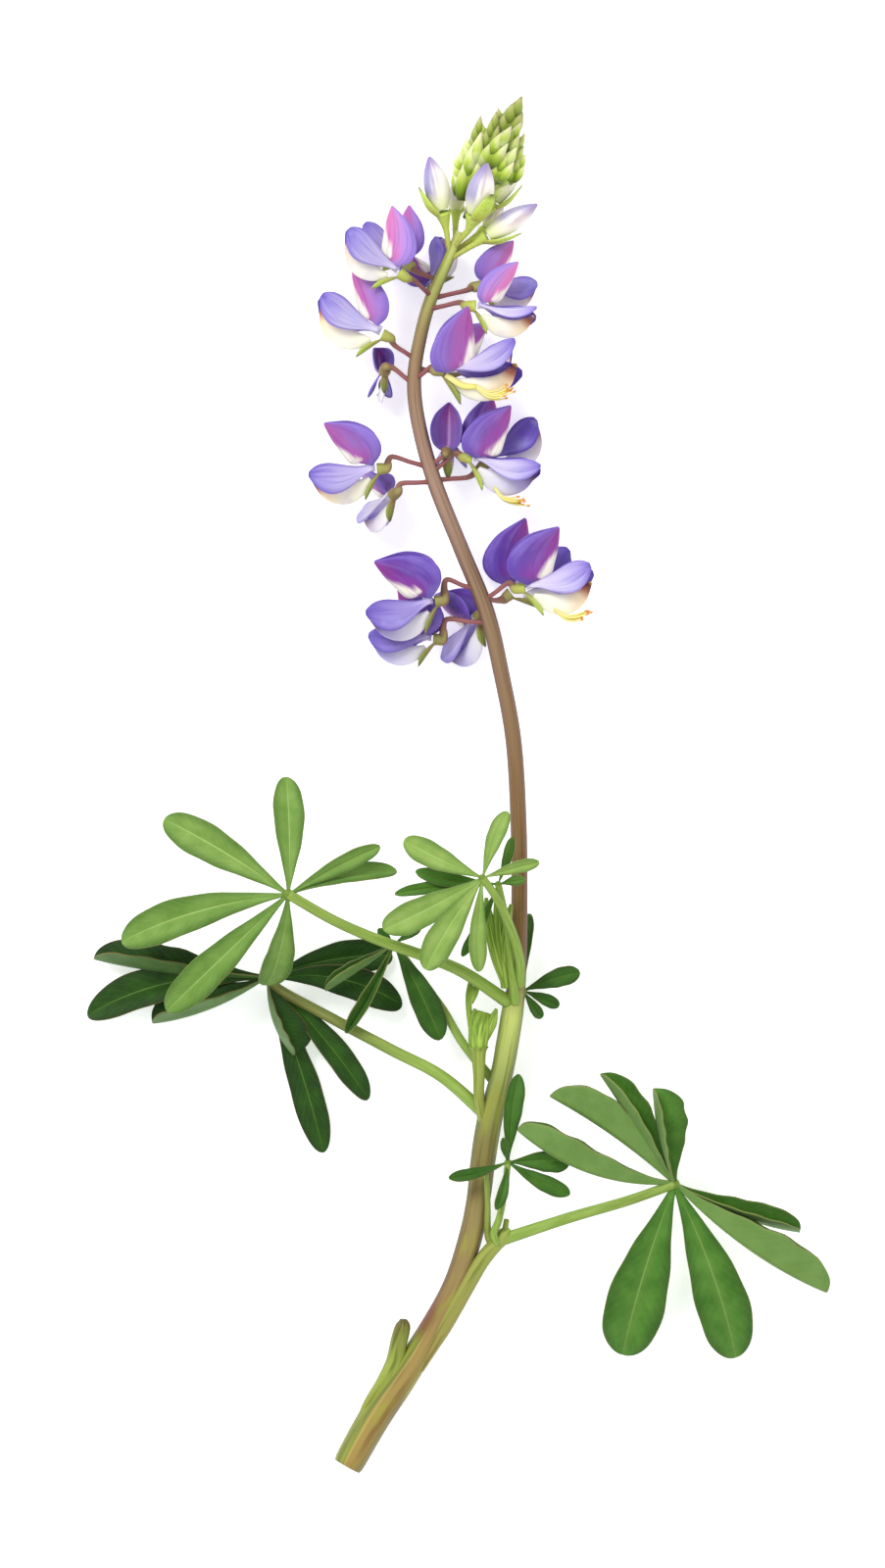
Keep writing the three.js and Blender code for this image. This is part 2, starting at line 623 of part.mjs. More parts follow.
function leaflet(hub, [dx, dy, dz, width, fold, roll, bow, sway]) {
  const ahead = new THREE.Vector3(dx, dy, dz);
  const length = ahead.length();
  ahead.normalize();
  const flatUp = new THREE.Vector3(0, 0, 1).addScaledVector(ahead, -ahead.z).normalize();
  const flatSide = new THREE.Vector3().crossVectors(flatUp, ahead);
  const up = flatUp.clone().applyAxisAngle(ahead, radians(roll));
  const side = new THREE.Vector3().crossVectors(up, ahead);
  const surface = (u, v) => {
    const arch = 4 * u * (1 - u) * length;
    const half = (width / 2) * leafletOutline(u);
    const open = Math.max(half * Math.cos(radians(fold)), Math.min(half, LEAST_OPENING));
    const rise = Math.sqrt(half ** 2 - open ** 2);
    return hub
      .clone()
      .addScaledVector(ahead, LEAFLET_ROOT + u * (length - LEAFLET_ROOT))
      .addScaledVector(flatUp, bow * arch)
      .addScaledVector(flatSide, sway * arch)
      .addScaledVector(up, Math.abs(v) * rise)
      .addScaledVector(side, v * open);
  };
  return sheet(surface, LEAFLET_STATIONS, ACROSS, SHEET);
}

function leaf({ hub, petiole, leaflets }) {
  const centre = vector(petiole[0]);
  const knot = new THREE.IcosahedronGeometry(hub, 0);
  const ball = toSolid(welded(knot.translate(centre.x, centre.y, centre.z)));
  const blades = leaflets.map((row) => leaflet(centre, row));
  return unite([bar(petiole, PETIOLE_SIDES, petiole.length + 1), ball, ...blades]);
}

// Joins the corners that meet in a three.js solid.
function welded(geometry) {
  const seen = new Map();
  const points = [];
  const corners = [];
  const position = geometry.attributes.position;
  for (let i = 0; i < position.count; i++) {
    const point = new THREE.Vector3().fromBufferAttribute(position, i);
    const key = point.toArray().map((n) => Math.round(n * 1000)).join();
    if (!seen.has(key)) {
      seen.set(key, points.length);
      points.push(point);
    }
    corners.push(seen.get(key));
  }
  const index = geometry.index ? Array.from(geometry.index.array, (i) => corners[i]) : corners;
  return closed(points, [index]);
}

// ---- flowers ----
const flowers = FLOWERS.map((row) =>
  Object.fromEntries(FLOWER_FIELDS.map((field, i) => [field, row[i]])),
);

// The flower's own directions: forward (where it looks), back (its upper side) and side.
function flowerFrame({ mouth, facing: [heading, pitch, roll] }) {
  const forward = new THREE.Vector3(
    Math.cos(radians(heading)) * Math.cos(radians(pitch)),
    Math.sin(radians(heading)) * Math.cos(radians(pitch)),
    Math.sin(radians(pitch)),
  );
  const towardTip = new THREE.Vector3(0, 1, 0);
  const inPlane = towardTip.addScaledVector(forward, -forward.y).normalize();
  const upright = new THREE.Vector3().crossVectors(forward, inPlane);
  if (upright.z < 0) upright.negate();
  const back = inPlane
    .multiplyScalar(Math.cos(radians(roll)))
    .addScaledVector(upright, Math.sin(radians(roll)));
  const side = new THREE.Vector3().crossVectors(back, forward);
  return { origin: vector(mouth), forward, back, side };
}

// A point from forward, side and up distances in the flower's frame.
function inFlower({ origin, forward, back, side }, x, y, z) {
  return origin
    .clone()
    .addScaledVector(forward, x)
    .addScaledVector(side, y)
    .addScaledVector(back, z);
}

// [forward, up] turned about a pivot.
function turned([x, z], [px, pz], degrees) {
  const c = Math.cos(radians(degrees));
  const s = Math.sin(radians(degrees));
  return [px + (x - px) * c - (z - pz) * s, pz + (x - px) * s + (z - pz) * c];
}

function banner(frame, { banner: [turn, opening], size }) {
  const surface = (u, v) => {
    const bend = turn * Math.min(u / BANNER_HINGE, 1);
    const spine = turned(spline(BANNER_SPINE, u), BANNER_PIVOT, bend);
    const rim = turned(spline(BANNER_EDGE, u), BANNER_PIVOT, bend);
    const edge = [mix(spine[0], rim[0], opening), mix(spine[1], rim[1], opening)];
    const share = Math.abs(v);
    const depth = Math.hypot(edge[0] - spine[0], edge[1] - spine[1]);
    const out = Math.sign(v) * depth * BANNER_SPREAD * Math.sin((Math.PI / 2) * share);
    const x = mix(spine[0], edge[0], share);
    const z = mix(spine[1], edge[1], share);
    return inFlower(frame, x * size, out * size, z * size);
  };
  return sheet(surface, BANNER_STATIONS, ACROSS, SHEET);
}

// hand is 1 or -1, the side of the flower that the wing is on.
function wing(frame, { wings: [near, far, flare], size }, hand) {
  const isNear = hand * frame.side.z > 0;
  const lean = radians(isNear ? flare : WING_LEAN);
  const turn = isNear ? near : far;
  const surface = (u, v) => {
    const [along, rise, half, apart] = spline(WING, u);
    const curl = WING_CUP * half * v * v;
    const [x, z] = turned([along, rise + v * half * Math.cos(lean)], WING_PIVOT, turn);
    const y = hand * Math.max(apart - v * half * Math.sin(lean) - curl, WING_INNER);
    return inFlower(frame, x * size, y * size, z * size);
  };
  return sheet(surface, WING_STATIONS, ACROSS, SHEET);
}

function petals(flower) {
  const frame = flowerFrame(flower);
  const root = PETAL_ROOT.map(([x, y, z, r]) => {
    const at = inFlower(frame, x * flower.size, y, z * flower.size);
    return [at.x, at.y, at.z, r * flower.size];
  });
  const whole = unite([
    bar(root, PETIOLE_SIDES, 1),
    banner(frame, flower),
    wing(frame, flower, 1),
    wing(frame, flower, -1),
  ]);
  return largestBody(whole);
}

function keel(flower) {
  const frame = flowerFrame(flower);
  const size = flower.size;
  const rings = KEEL.map(([x, z, high, wide], i) => {
    const before = KEEL[Math.max(i - 1, 0)];
    const after = KEEL[Math.min(i + 1, KEEL.length - 1)];
    const slope = Math.atan2(after[1] - before[1], after[0] - before[0]);
    const ring = [];
    for (let k = 0; k < KEEL_SIDES; k++) {
      const angle = (2 * Math.PI * k) / KEEL_SIDES;
      const rise = high * Math.sin(angle);
      const corner = [x - rise * Math.sin(slope), z + rise * Math.cos(slope)];
      const [a, b] = turned(corner, [KEEL[0][0], KEEL[0][1]], flower.keel);
      ring.push(inFlower(frame, a * size, wide * Math.cos(angle) * size, b * size));
    }
    return ring;
  });
  const body = toSolid(stacked(rings));
  return STAMEN_FLOWERS.includes(flower.name) ? body.add(stamens(frame, flower)) : body;
}

function stamens(frame, flower) {
  const rows = STAMENS.map(([x, y, z, r]) => {
    const near = frame.side.z > 0 ? y : -y;
    const [along, rise] = turned([x, z], [KEEL[0][0], KEEL[0][1]], flower.keel);
    const at = inFlower(frame, along * flower.size, near, rise * flower.size);
    return [at.x, at.y, at.z, r];
  });
  return bar(rows, PETIOLE_SIDES, 4);
}

// ---- calyces and pedicels, part of the stem ----
function lip(frame, size, { from, to, width, hollow }) {
  const surface = (u, v) => {
    const [even, swell, taper] = LIP_OUTLINE;
    const half = (width / 2) * (even + swell * u + taper * u * u);
    const ahead = mix(from[0], to[0], u) + hollow * 4 * u * (1 - u) * v * v;
    return inFlower(frame, ahead * size, v * half * size, mix(from[1], to[1], u) * size);
  };
  return sheet(surface, LIP_STATIONS, ACROSS, SHEET);
}

function pedicel(flower) {
  const root = spline(STEM, shareAtY(STEM, flower.root));
  const frame = flowerFrame(flower);
  const opening = inFlower(frame, -CALYX_SETBACK, 0, 0).toArray();
  const cup = inFlower(frame, -CALYX_LENGTH, 0, 0).toArray();
  const neckHeight = mix(root[2], cup[2], 1 - CALYX_NECK);
  const neck = [...flower.neck, neckHeight];
  const halfway = [0, 1, 2].map((k) => mix(root[k], neck[k], 0.5));
  return bar(
    [
      [root[0], root[1], root[2], PEDICEL_RADIUS],
      [...halfway, PEDICEL_RADIUS],
      [...neck, PEDICEL_RADIUS * NECK_SWELL],
      [...cup, CALYX_RADIUS * CALYX_TAPER],
      [...opening, CALYX_RADIUS],
    ],
    PETIOLE_SIDES,
    4,
  );
}

function calyx(flower) {
  return pedicel(flower).add(lip(flowerFrame(flower), flower.size, LOWER_LIP));
}

// ---- buds ----
function spindle(from, to, radius, profile, sides) {
  const rows = profile.map((share, i) => {
    const t = i / (profile.length - 1);
    return [...[0, 1, 2].map((k) => mix(from[k], to[k], t)), radius * share];
  });
  return bar(rows, sides, rows.length - 1);
}

const petalBud = ([, , , from, to, radius]) => spindle(from, to, radius, BUD_PROFILE, BUD_SIDES);

// The lip lies along the side of the bud that faces away from the tip of the spike.
function budLip([, , , from, to, radius]) {
  const length = vector(to).sub(vector(from)).length();
  const ahead = vector(to).sub(vector(from)).normalize();
  const out = new THREE.Vector3(0, -1, 0).addScaledVector(ahead, ahead.y).normalize();
  const side = new THREE.Vector3().crossVectors(out, ahead);
  const surface = (u, v) => {
    const [along, swell, clear] = spline(BUD_LIP, u);
    const angle = radians(BUD_LIP_WRAP) * v * (1 - BUD_LIP_TAPER * u * u);
    const reach = swell * radius + clear;
    return vector(from)
      .addScaledVector(ahead, along * length)
      .addScaledVector(out, reach * Math.cos(angle))
      .addScaledVector(side, reach * Math.sin(angle));
  };
  return sheet(surface, LIP_STATIONS, ACROSS, SHEET);
}

function budCalyx(bud) {
  const [, rootY, neck, from, to, radius] = bud;
  const root = spline(STEM, shareAtY(STEM, rootY));
  const ahead = vector(to).sub(vector(from)).normalize();
  const seat = vector(from).addScaledVector(ahead, -BUD_SETBACK).toArray();
  const cup = bar(
    [
      [root[0], root[1], root[2], PEDICEL_RADIUS],
      [...neck, PEDICEL_RADIUS * BUD_NECK_SWELL],
      [...seat, radius * BUD_SEAT],
    ],
    PETIOLE_SIDES,
    4,
  );
  return cup.add(budLip(bud));
}

function head() {
  const solids = [bar(HEAD_AXIS, PETIOLE_SIDES, 8)];
  for (const [from, to, radius] of FRONT_BUDS) {
    solids.push(spindle(from, to, radius, HEAD_BUD_PROFILE, HEAD_BUD_SIDES));
  }
  for (let i = 0; i < HEAD_BUDS; i++) {
    const share = i / (HEAD_BUDS - 1);
    const place = mix(...HEAD_SPAN, share);
    const at = vector(spline(HEAD_AXIS, place));
    const ahead = directionAt(HEAD_AXIS, place);
    const out = new THREE.Vector3(1, 0, 0).addScaledVector(ahead, -ahead.x).normalize();
    out.applyAxisAngle(ahead, radians(GOLDEN_ANGLE * i));
    const lean = radians(mix(...HEAD_BUD_LEAN, share));
    const length = mix(...HEAD_BUD_LENGTH, share);
    const direction = ahead.multiplyScalar(Math.cos(lean)).addScaledVector(out, Math.sin(lean));
    const tip = at.clone().addScaledVector(direction, length);
    const radius = mix(...HEAD_BUD_RADIUS, share);
    solids.push(spindle(at.toArray(), tip.toArray(), radius, HEAD_BUD_PROFILE, HEAD_BUD_SIDES));
  }
  return unite(solids);
}

// The large buds and their calyces grown by the clearance, which the head stays out of.
function budsWithClearance() {
  return unite(
    BUDS.map(([name, rootY, neck, from, to, radius]) => {
      const grown = [name, rootY, neck, from, to, radius + GAP];
      return petalBud(grown).add(budCalyx(grown));
    }),
  );
}

// ---- the stem ----
function stem() {
  const bars = [
    bar(STEM, STEM_SIDES, STEM_STEPS),
    bar(BRANCH, BRANCH_SIDES, 4),
    bar(STUB, BRANCH_SIDES, STUB.length - 1),
    bar(SIDE_SHOOT_STEM, PETIOLE_SIDES + 2, 5),
    ...TWIGS.map((rows) => bar(rows, PETIOLE_SIDES, 3)),
    ...flowers.map(calyx),
    ...BUDS.map(budCalyx),
  ];
  const floor = new THREE.BoxGeometry(...FLOOR_BLOCK);
  const below = toSolid(welded(floor.translate(0, 0, -FLOOR_BLOCK[2] / 2)));
  return unite(bars).subtract(below);
}

// The stem grown by the clearance, used to keep other pieces off it.
function stemWithClearance() {
  const wider = (rows) => rows.map(([x, y, z, r]) => [x, y, z, r + GAP]);
  return unite([
    bar(wider(STEM), STEM_SIDES, STEM_STEPS),
    bar(wider(BRANCH), BRANCH_SIDES, 4),
    bar(wider(SIDE_SHOOT_STEM), PETIOLE_SIDES + 2, 5),
    ...TWIGS.map((rows) => bar(wider(rows), PETIOLE_SIDES, 3)),
  ]);
}

// ---- assembly ----
const plant = new THREE.Group();
plant.name = "lupin_flower_spike";

function place(name, solid, material) {
  const geometry = toGeometry(solid).translate(-BOX_CENTRE[0], -BOX_CENTRE[1], 0);
  geometry.computeVertexNormals();
  const mesh = new THREE.Mesh(geometry, MATERIALS[material]);
  mesh.name = name;
  plant.add(mesh);
}

const keepOut = stemWithClearance();
const offStem = (solid) => largestBody(solid.subtract(keepOut));

place("stem", largestBody(stem()), "stem");
for (const [name, rows] of Object.entries(LEAVES)) place(name, offStem(leaf(rows)), "leaf");
place("shoot_upper", offStem(unite(SHOOT_UPPER.map((rows) => bar(rows, PETIOLE_SIDES, 4)))), "leaf");
place("side_shoot", offStem(unite(SIDE_SHOOT.map((rows) => bar(rows, PETIOLE_SIDES, 4)))), "leaf");
for (const flower of flowers) {
  place(`flower_${flower.name}_petals`, petals(flower), "petal");
  place(`flower_${flower.name}_keel`, keel(flower), "keel");
}
for (const bud of BUDS) place(`bud_${bud[0]}`, petalBud(bud), "petal");
place("bud_head", largestBody(head().subtract(budsWithClearance())), "bud");

export default plant;
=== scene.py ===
"""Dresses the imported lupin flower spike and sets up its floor, light and camera.

Every piece is built in millimetres, with +Y to the tip of the spike and +Z up from the surface,
from the same rows as the solids, and is scaled to metres when its mesh is made.
"""

import bpy
import numpy as np
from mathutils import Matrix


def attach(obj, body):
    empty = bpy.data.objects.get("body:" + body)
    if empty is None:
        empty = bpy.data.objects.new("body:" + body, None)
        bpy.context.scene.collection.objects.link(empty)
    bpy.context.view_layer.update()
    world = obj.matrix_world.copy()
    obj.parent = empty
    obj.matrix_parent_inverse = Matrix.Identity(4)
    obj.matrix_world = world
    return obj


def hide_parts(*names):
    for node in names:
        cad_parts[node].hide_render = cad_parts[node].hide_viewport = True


MM = 0.001
BOX_CENTRE = np.array([0.0, -1.0, 0.0])  # middle of the laid-out plant, moved to the origin
PETAL_THICKNESS = 0.32
LEAF_THICKNESS = 0.4
RIM_SHARE = 0.45  # a blade's thickness at its rim, as a share of its middle's
RIM_ONSET = 8  # how late a blade thins towards its rim
SOFT_DEPTH = 0.8  # how far light spreads inside petals and leaves
HAIR_WIDTH = 0.02
HAIR_RISE = 0.5  # how much of a hair's direction is away from its surface
HAIR_SCATTER = 0.35  # how far hairs stray from one direction
HAIR_LEANS = (0.6, 1.2)  # least and largest share of a hair's direction along its surface
HAIR_LENGTHS = (0.6, 1.15)  # least and largest share of the length asked for
CALYX_RADIUS = 1.15
CALYX_LENGTH = 1.9
CALYX_SETBACK = 0.12
SEED = 11
random = np.random.default_rng(SEED)  # draws the same hairs in every run

# The stem, from the cut end to the tip of the rachis: [x, y, z, radius]
STEM = [
    [-20.4, -125.3, 2.4, 2.8], [-15.4, -116.4, 2.4, 2.9], [-9.4, -107.6, 3.0, 2.6], [-4.5, -99.2, 4.0, 2.2],
    [-0.6, -91.6, 5.1, 2.05], [2.1, -83.8, 6.0, 2.15], [3.7, -76.4, 6.5, 2.2], [4.6, -69.0, 7.0, 2.25],
    [5.8, -61.7, 7.5, 2.3], [7.9, -53.6, 8.2, 2.05], [9.2, -46.7, 9.0, 2.05], [10.1, -41.0, 9.5, 2.0],
    [11.0, -33.8, 10.0, 1.55], [11.3, -23.0, 10.5, 1.5], [11.2, -8.6, 10.5, 1.5], [10.3, 7.7, 10.5, 1.45],
    [8.1, 20.3, 10.5, 1.45], [5.3, 32.0, 10.5, 1.45], [0.6, 43.7, 10.5, 1.4], [-4.4, 56.3, 10.5, 1.4],
    [-7.3, 67.1, 10.5, 1.32], [-8.0, 75.2, 10.5, 1.28], [-6.7, 83.3, 10.4, 1.2], [-4.9, 89.6, 10.2, 1.15],
    [-2.0, 96.2, 10.0, 1.0], [0.4, 101.8, 9.7, 0.9],
]
# The side branch that carries the right leaf: [x, y, z, radius]
BRANCH = [
    [-4.6, -103.2, 4.4, 1.1], [-2.2, -98.8, 5.0, 1.5], [2.4, -90.6, 6.2, 1.5], [4.8, -86.8, 6.9, 1.45],
    [7.8, -83.4, 7.6, 1.35],
]
# A strand of the stem that runs out into the round end of a lost shoot
STUB = [
    [-16.2, -114.4, 2.8, 1.5], [-13.6, -110.0, 3.2, 1.6], [-11.7, -106.0, 3.8, 1.6],
    [-10.8, -102.2, 4.8, 1.6], [-10.1, -99.4, 5.6, 1.45], [-10.0, -98.1, 5.9, 0.7],
]
SIDE_SHOOT_STEM = [
    [4.6, -61.5, 8.2, 0.9], [3.9, -57.0, 9.6, 1.0], [3.9, -53.0, 10.2, 1.1], [3.8, -49.0, 10.4, 1.4],
]
TWIGS = [
    [[5.6, -82.6, 7.0, 0.7], [5.5, -76.5, 9.9, 0.55], [5.2, -70.8, 11.6, 0.45]],
    [[8.2, -84.0, 7.4, 0.6], [9.0, -79.6, 8.2, 0.5]],
]

# Leaves: the size of the hub, the petiole from hub to stem [x, y, z, radius], and the leaflets.
# A leaflet has its tip from the hub [x, y, z], its width, the fold of its halves, its roll about
# the midrib (degrees), and its arch upwards and sideways as a share of its length.
LEAVES = {
    "leaf_upper_left": (1.4, [
        [-31.0, -19.7, 22.0, 1.0], [-22.9, -24.4, 20.2, 0.95], [-14.8, -28.0, 18.0, 0.95],
        [-6.7, -30.9, 15.8, 0.95], [0.9, -34.0, 13.4, 0.95], [9.5, -39.8, 10.4, 1.0],
    ], [
        [-0.5, 21.4, -2.0, 5.9, 14, 8, 0.05, -0.02], [-22.7, 13.7, -6.0, 7.2, 16, -6, 0.06, -0.02],
        [-30.6, -8.8, -9.0, 7.4, 14, 6, 0.07, -0.045], [-22.3, -21.4, -8.0, 6.8, 14, 4, 0.06, 0.0],
        [-4.1, -16.7, -14.0, 6.2, 18, -20, 0.1, 0.04], [16.7, 8.8, -1.0, 3.8, 26, 12, 0.05, 0.02],
        [19.8, 4.1, -5.0, 4.2, 24, -28, 0.07, 0.05],
    ]),
    "leaf_lower_left": (1.4, [
        [-35.1, -35.2, 6.0, 1.0], [-32.8, -37.4, 6.4, 0.95], [-22.9, -42.8, 6.9, 0.95],
        [-12.1, -48.5, 7.2, 0.95], [-3.1, -53.2, 7.4, 0.95], [4.6, -59.8, 7.4, 1.0],
    ], [
        [-33.1, -7.0, -5.3, 7.8, 22, 14, 0.05, -0.08], [-31.9, 3.4, -3.4, 10.4, 58, 58, 0.05, 0.03],
        [-21.0, -8.4, -2.6, 10.2, 56, 58, 0.05, 0.06], [4.7, -14.2, -2.4, 10.8, 54, -52, 0.12, -0.09],
        [10.4, -32.2, -5.2, 6.4, 22, 10, -0.03, 0.02], [18.5, -22.5, -5.0, 5.6, 26, -14, 0.02, 0.03],
        [24.8, -5.1, -3.4, 6.8, 20, 8, 0.04, 0.1], [23.0, 4.0, -5.0, 6.6, 16, -6, 0.02, 0.05],
    ]),
    "leaf_right": (1.4, [
        [39.8, -73.0, 12.0, 0.95], [31.1, -76.1, 11.2, 0.9], [20.3, -79.3, 9.6, 0.9],
        [8.0, -83.4, 7.5, 0.95],
    ], [
        [-28.8, 10.0, 3.4, 10.2, 68, 86, 0.03, 0.1], [-22.9, 16.2, 3.0, 11.6, 68, 94, 0.03, -0.03],
        [-13.7, 20.2, 3.4, 9.6, 68, 44, 0.04, 0.0], [-4.0, 17.6, 5.0, 11.4, 53, 48, 0.06, 0.045],
        [23.0, -9.0, -6.0, 8.6, 68, -42, 0.04, -0.05], [28.0, -20.0, -4.0, 12.0, 70, -88, 0.05, -0.05],
        [11.5, -32.2, -11.0, 10.0, 10, 4, 0.07, 0.03], [-9.4, -31.7, -11.0, 11.2, 10, -6, 0.07, -0.02],
    ]),
    "leaf_small_front": (0.9, [
        [9.2, -69.0, 11.6, 0.65], [8.6, -74.3, 11.0, 0.6], [7.6, -79.4, 10.2, 0.6], [6.6, -82.2, 9.2, 0.65],
    ], [
        [1.9, 16.2, 2.4, 3.9, 22, 10, 0.06, 0.02], [-10.8, -2.9, 0.6, 2.7, 30, 14, 0.05, 0.04],
        [-2.2, -8.6, 0.8, 2.6, 34, -20, 0.06, 0.03], [11.3, -5.9, 0.4, 3.6, 26, -10, 0.05, -0.03],
        [11.3, 0.0, -0.6, 4.6, 24, 16, 0.03, 0.04], [-0.9, 4.6, 4.0, 1.8, 30, 0, 0.04, 0.0],
    ]),
    "leaf_young_front": (1.0, [
        [4.5, -16.7, 24.4, 0.75], [7.0, -20.3, 23.4, 0.75], [9.6, -25.7, 20.4, 0.75],
        [11.3, -31.4, 16.2, 0.75], [11.4, -36.4, 11.8, 0.8],
    ], [
        [-14.3, 6.8, -2.0, 5.0, 16, 6, 0.05, 0.02], [4.5, 12.1, -1.0, 3.5, 20, -8, 0.06, 0.03],
        [10.3, 2.9, -1.4, 2.7, 26, 10, 0.06, 0.02], [-18.1, -9.4, -3.6, 6.0, 14, -4, 0.05, 0.02],
        [-10.4, -16.7, -3.4, 5.9, 16, 6, 0.05, -0.02], [-0.7, -17.1, -2.6, 3.6, 22, -10, 0.05, -0.03],
    ]),
    "leaf_young_back": (0.9, [
        [7.4, -17.9, 18.4, 0.7], [9.2, -26.5, 16.8, 0.7], [9.9, -34.0, 13.9, 0.7],
        [10.6, -39.8, 11.0, 0.75],
    ], [
        [-15.1, 2.3, 0.6, 3.2, 24, 12, 0.05, 0.04], [-18.9, -1.8, -0.6, 2.6, 28, 10, 0.05, -0.03],
        [4.9, 0.9, 0.4, 2.2, 28, 0, 0.05, 0.02], [-6.6, -13.2, -1.0, 2.4, 30, 10, 0.05, 0.03],
        [2.6, 8.6, 0.8, 2.2, 28, 0, 0.05, -0.02],
    ]),
    "leaf_back_mid": (0.9, [
        [-11.7, -28.9, 9.4, 0.7], [-6.7, -35.6, 9.2, 0.7], [-2.7, -41.0, 8.6, 0.7], [1.0, -47.3, 7.4, 0.7],
        [6.6, -54.2, 7.0, 0.75],
    ], [
        [-8.8, -16.4, -0.9, 5.4, 64, 8, 0.05, 0.03], [-12.5, -8.6, -1.4, 5.0, 74, 50, 0.05, 0.02],
        [8.5, -17.6, -0.6, 5.8, 24, -6, 0.05, 0.02], [-2.9, 2.7, 0.4, 1.8, 24, 0, 0.05, 0.0],
        [5.0, 3.2, 0.4, 1.9, 24, 0, 0.05, 0.0],
    ]),
    "leaf_back_right": (0.9, [
        [12.0, -37.6, 5.6, 0.7], [11.2, -41.0, 6.4, 0.7], [10.2, -44.0, 8.2, 0.75],
    ], [
        [10.4, 3.5, -1.4, 4.0, 24, 10, 0.06, 0.03], [6.6, -2.8, -2.0, 2.6, 26, 0, 0.05, 0.02],
        [3.4, -5.0, -2.6, 2.3, 26, 0, 0.05, 0.0], [1.3, 14.1, -2.4, 3.2, 26, -12, 0.05, 0.03],
    ]),
}

# Folded young leaflets beside the peduncle: spindles of [x, y, z, radius] rows
SHOOT_UPPER = [
    [[8.9, -36.9, 11.4, 0.9], [8.4, -32.6, 12.4, 1.2], [7.6, -25.0, 13.2, 1.15], [7.2, -18.6, 13.0, 0.3]],
    [[8.9, -36.6, 11.5, 0.8], [7.2, -31.4, 12.4, 1.2], [5.8, -25.0, 12.8, 1.0], [5.2, -20.4, 12.4, 0.3]],
    [[9.0, -36.6, 11.6, 0.7], [8.5, -31.0, 12.9, 1.1], [9.0, -25.4, 13.8, 0.9], [9.8, -21.6, 13.6, 0.3]],
]
# The side shoot's buds and leaflets, in the same way
SIDE_SHOOT = [
    [[3.8, -48.4, 10.5, 1.4], [3.8, -46.0, 10.9, 1.9], [4.3, -43.4, 11.0, 2.1], [4.9, -41.4, 11.0, 1.2]],
    [[2.9, -46.6, 11.0, 0.8], [2.8, -43.4, 11.4, 0.9], [3.2, -40.8, 11.6, 0.3]],
    [[5.0, -46.4, 11.0, 0.8], [6.2, -43.4, 11.3, 0.9], [7.1, -40.8, 11.2, 0.3]],
    [[2.8, -45.4, 11.0, 0.7], [2.1, -41.6, 10.6, 0.5], [2.1, -38.0, 10.2, 0.6], [2.6, -34.4, 10.0, 0.3]],
    [[2.4, -39.8, 10.4, 0.5], [3.1, -37.8, 10.3, 0.7], [3.9, -35.4, 10.0, 0.3]],
]

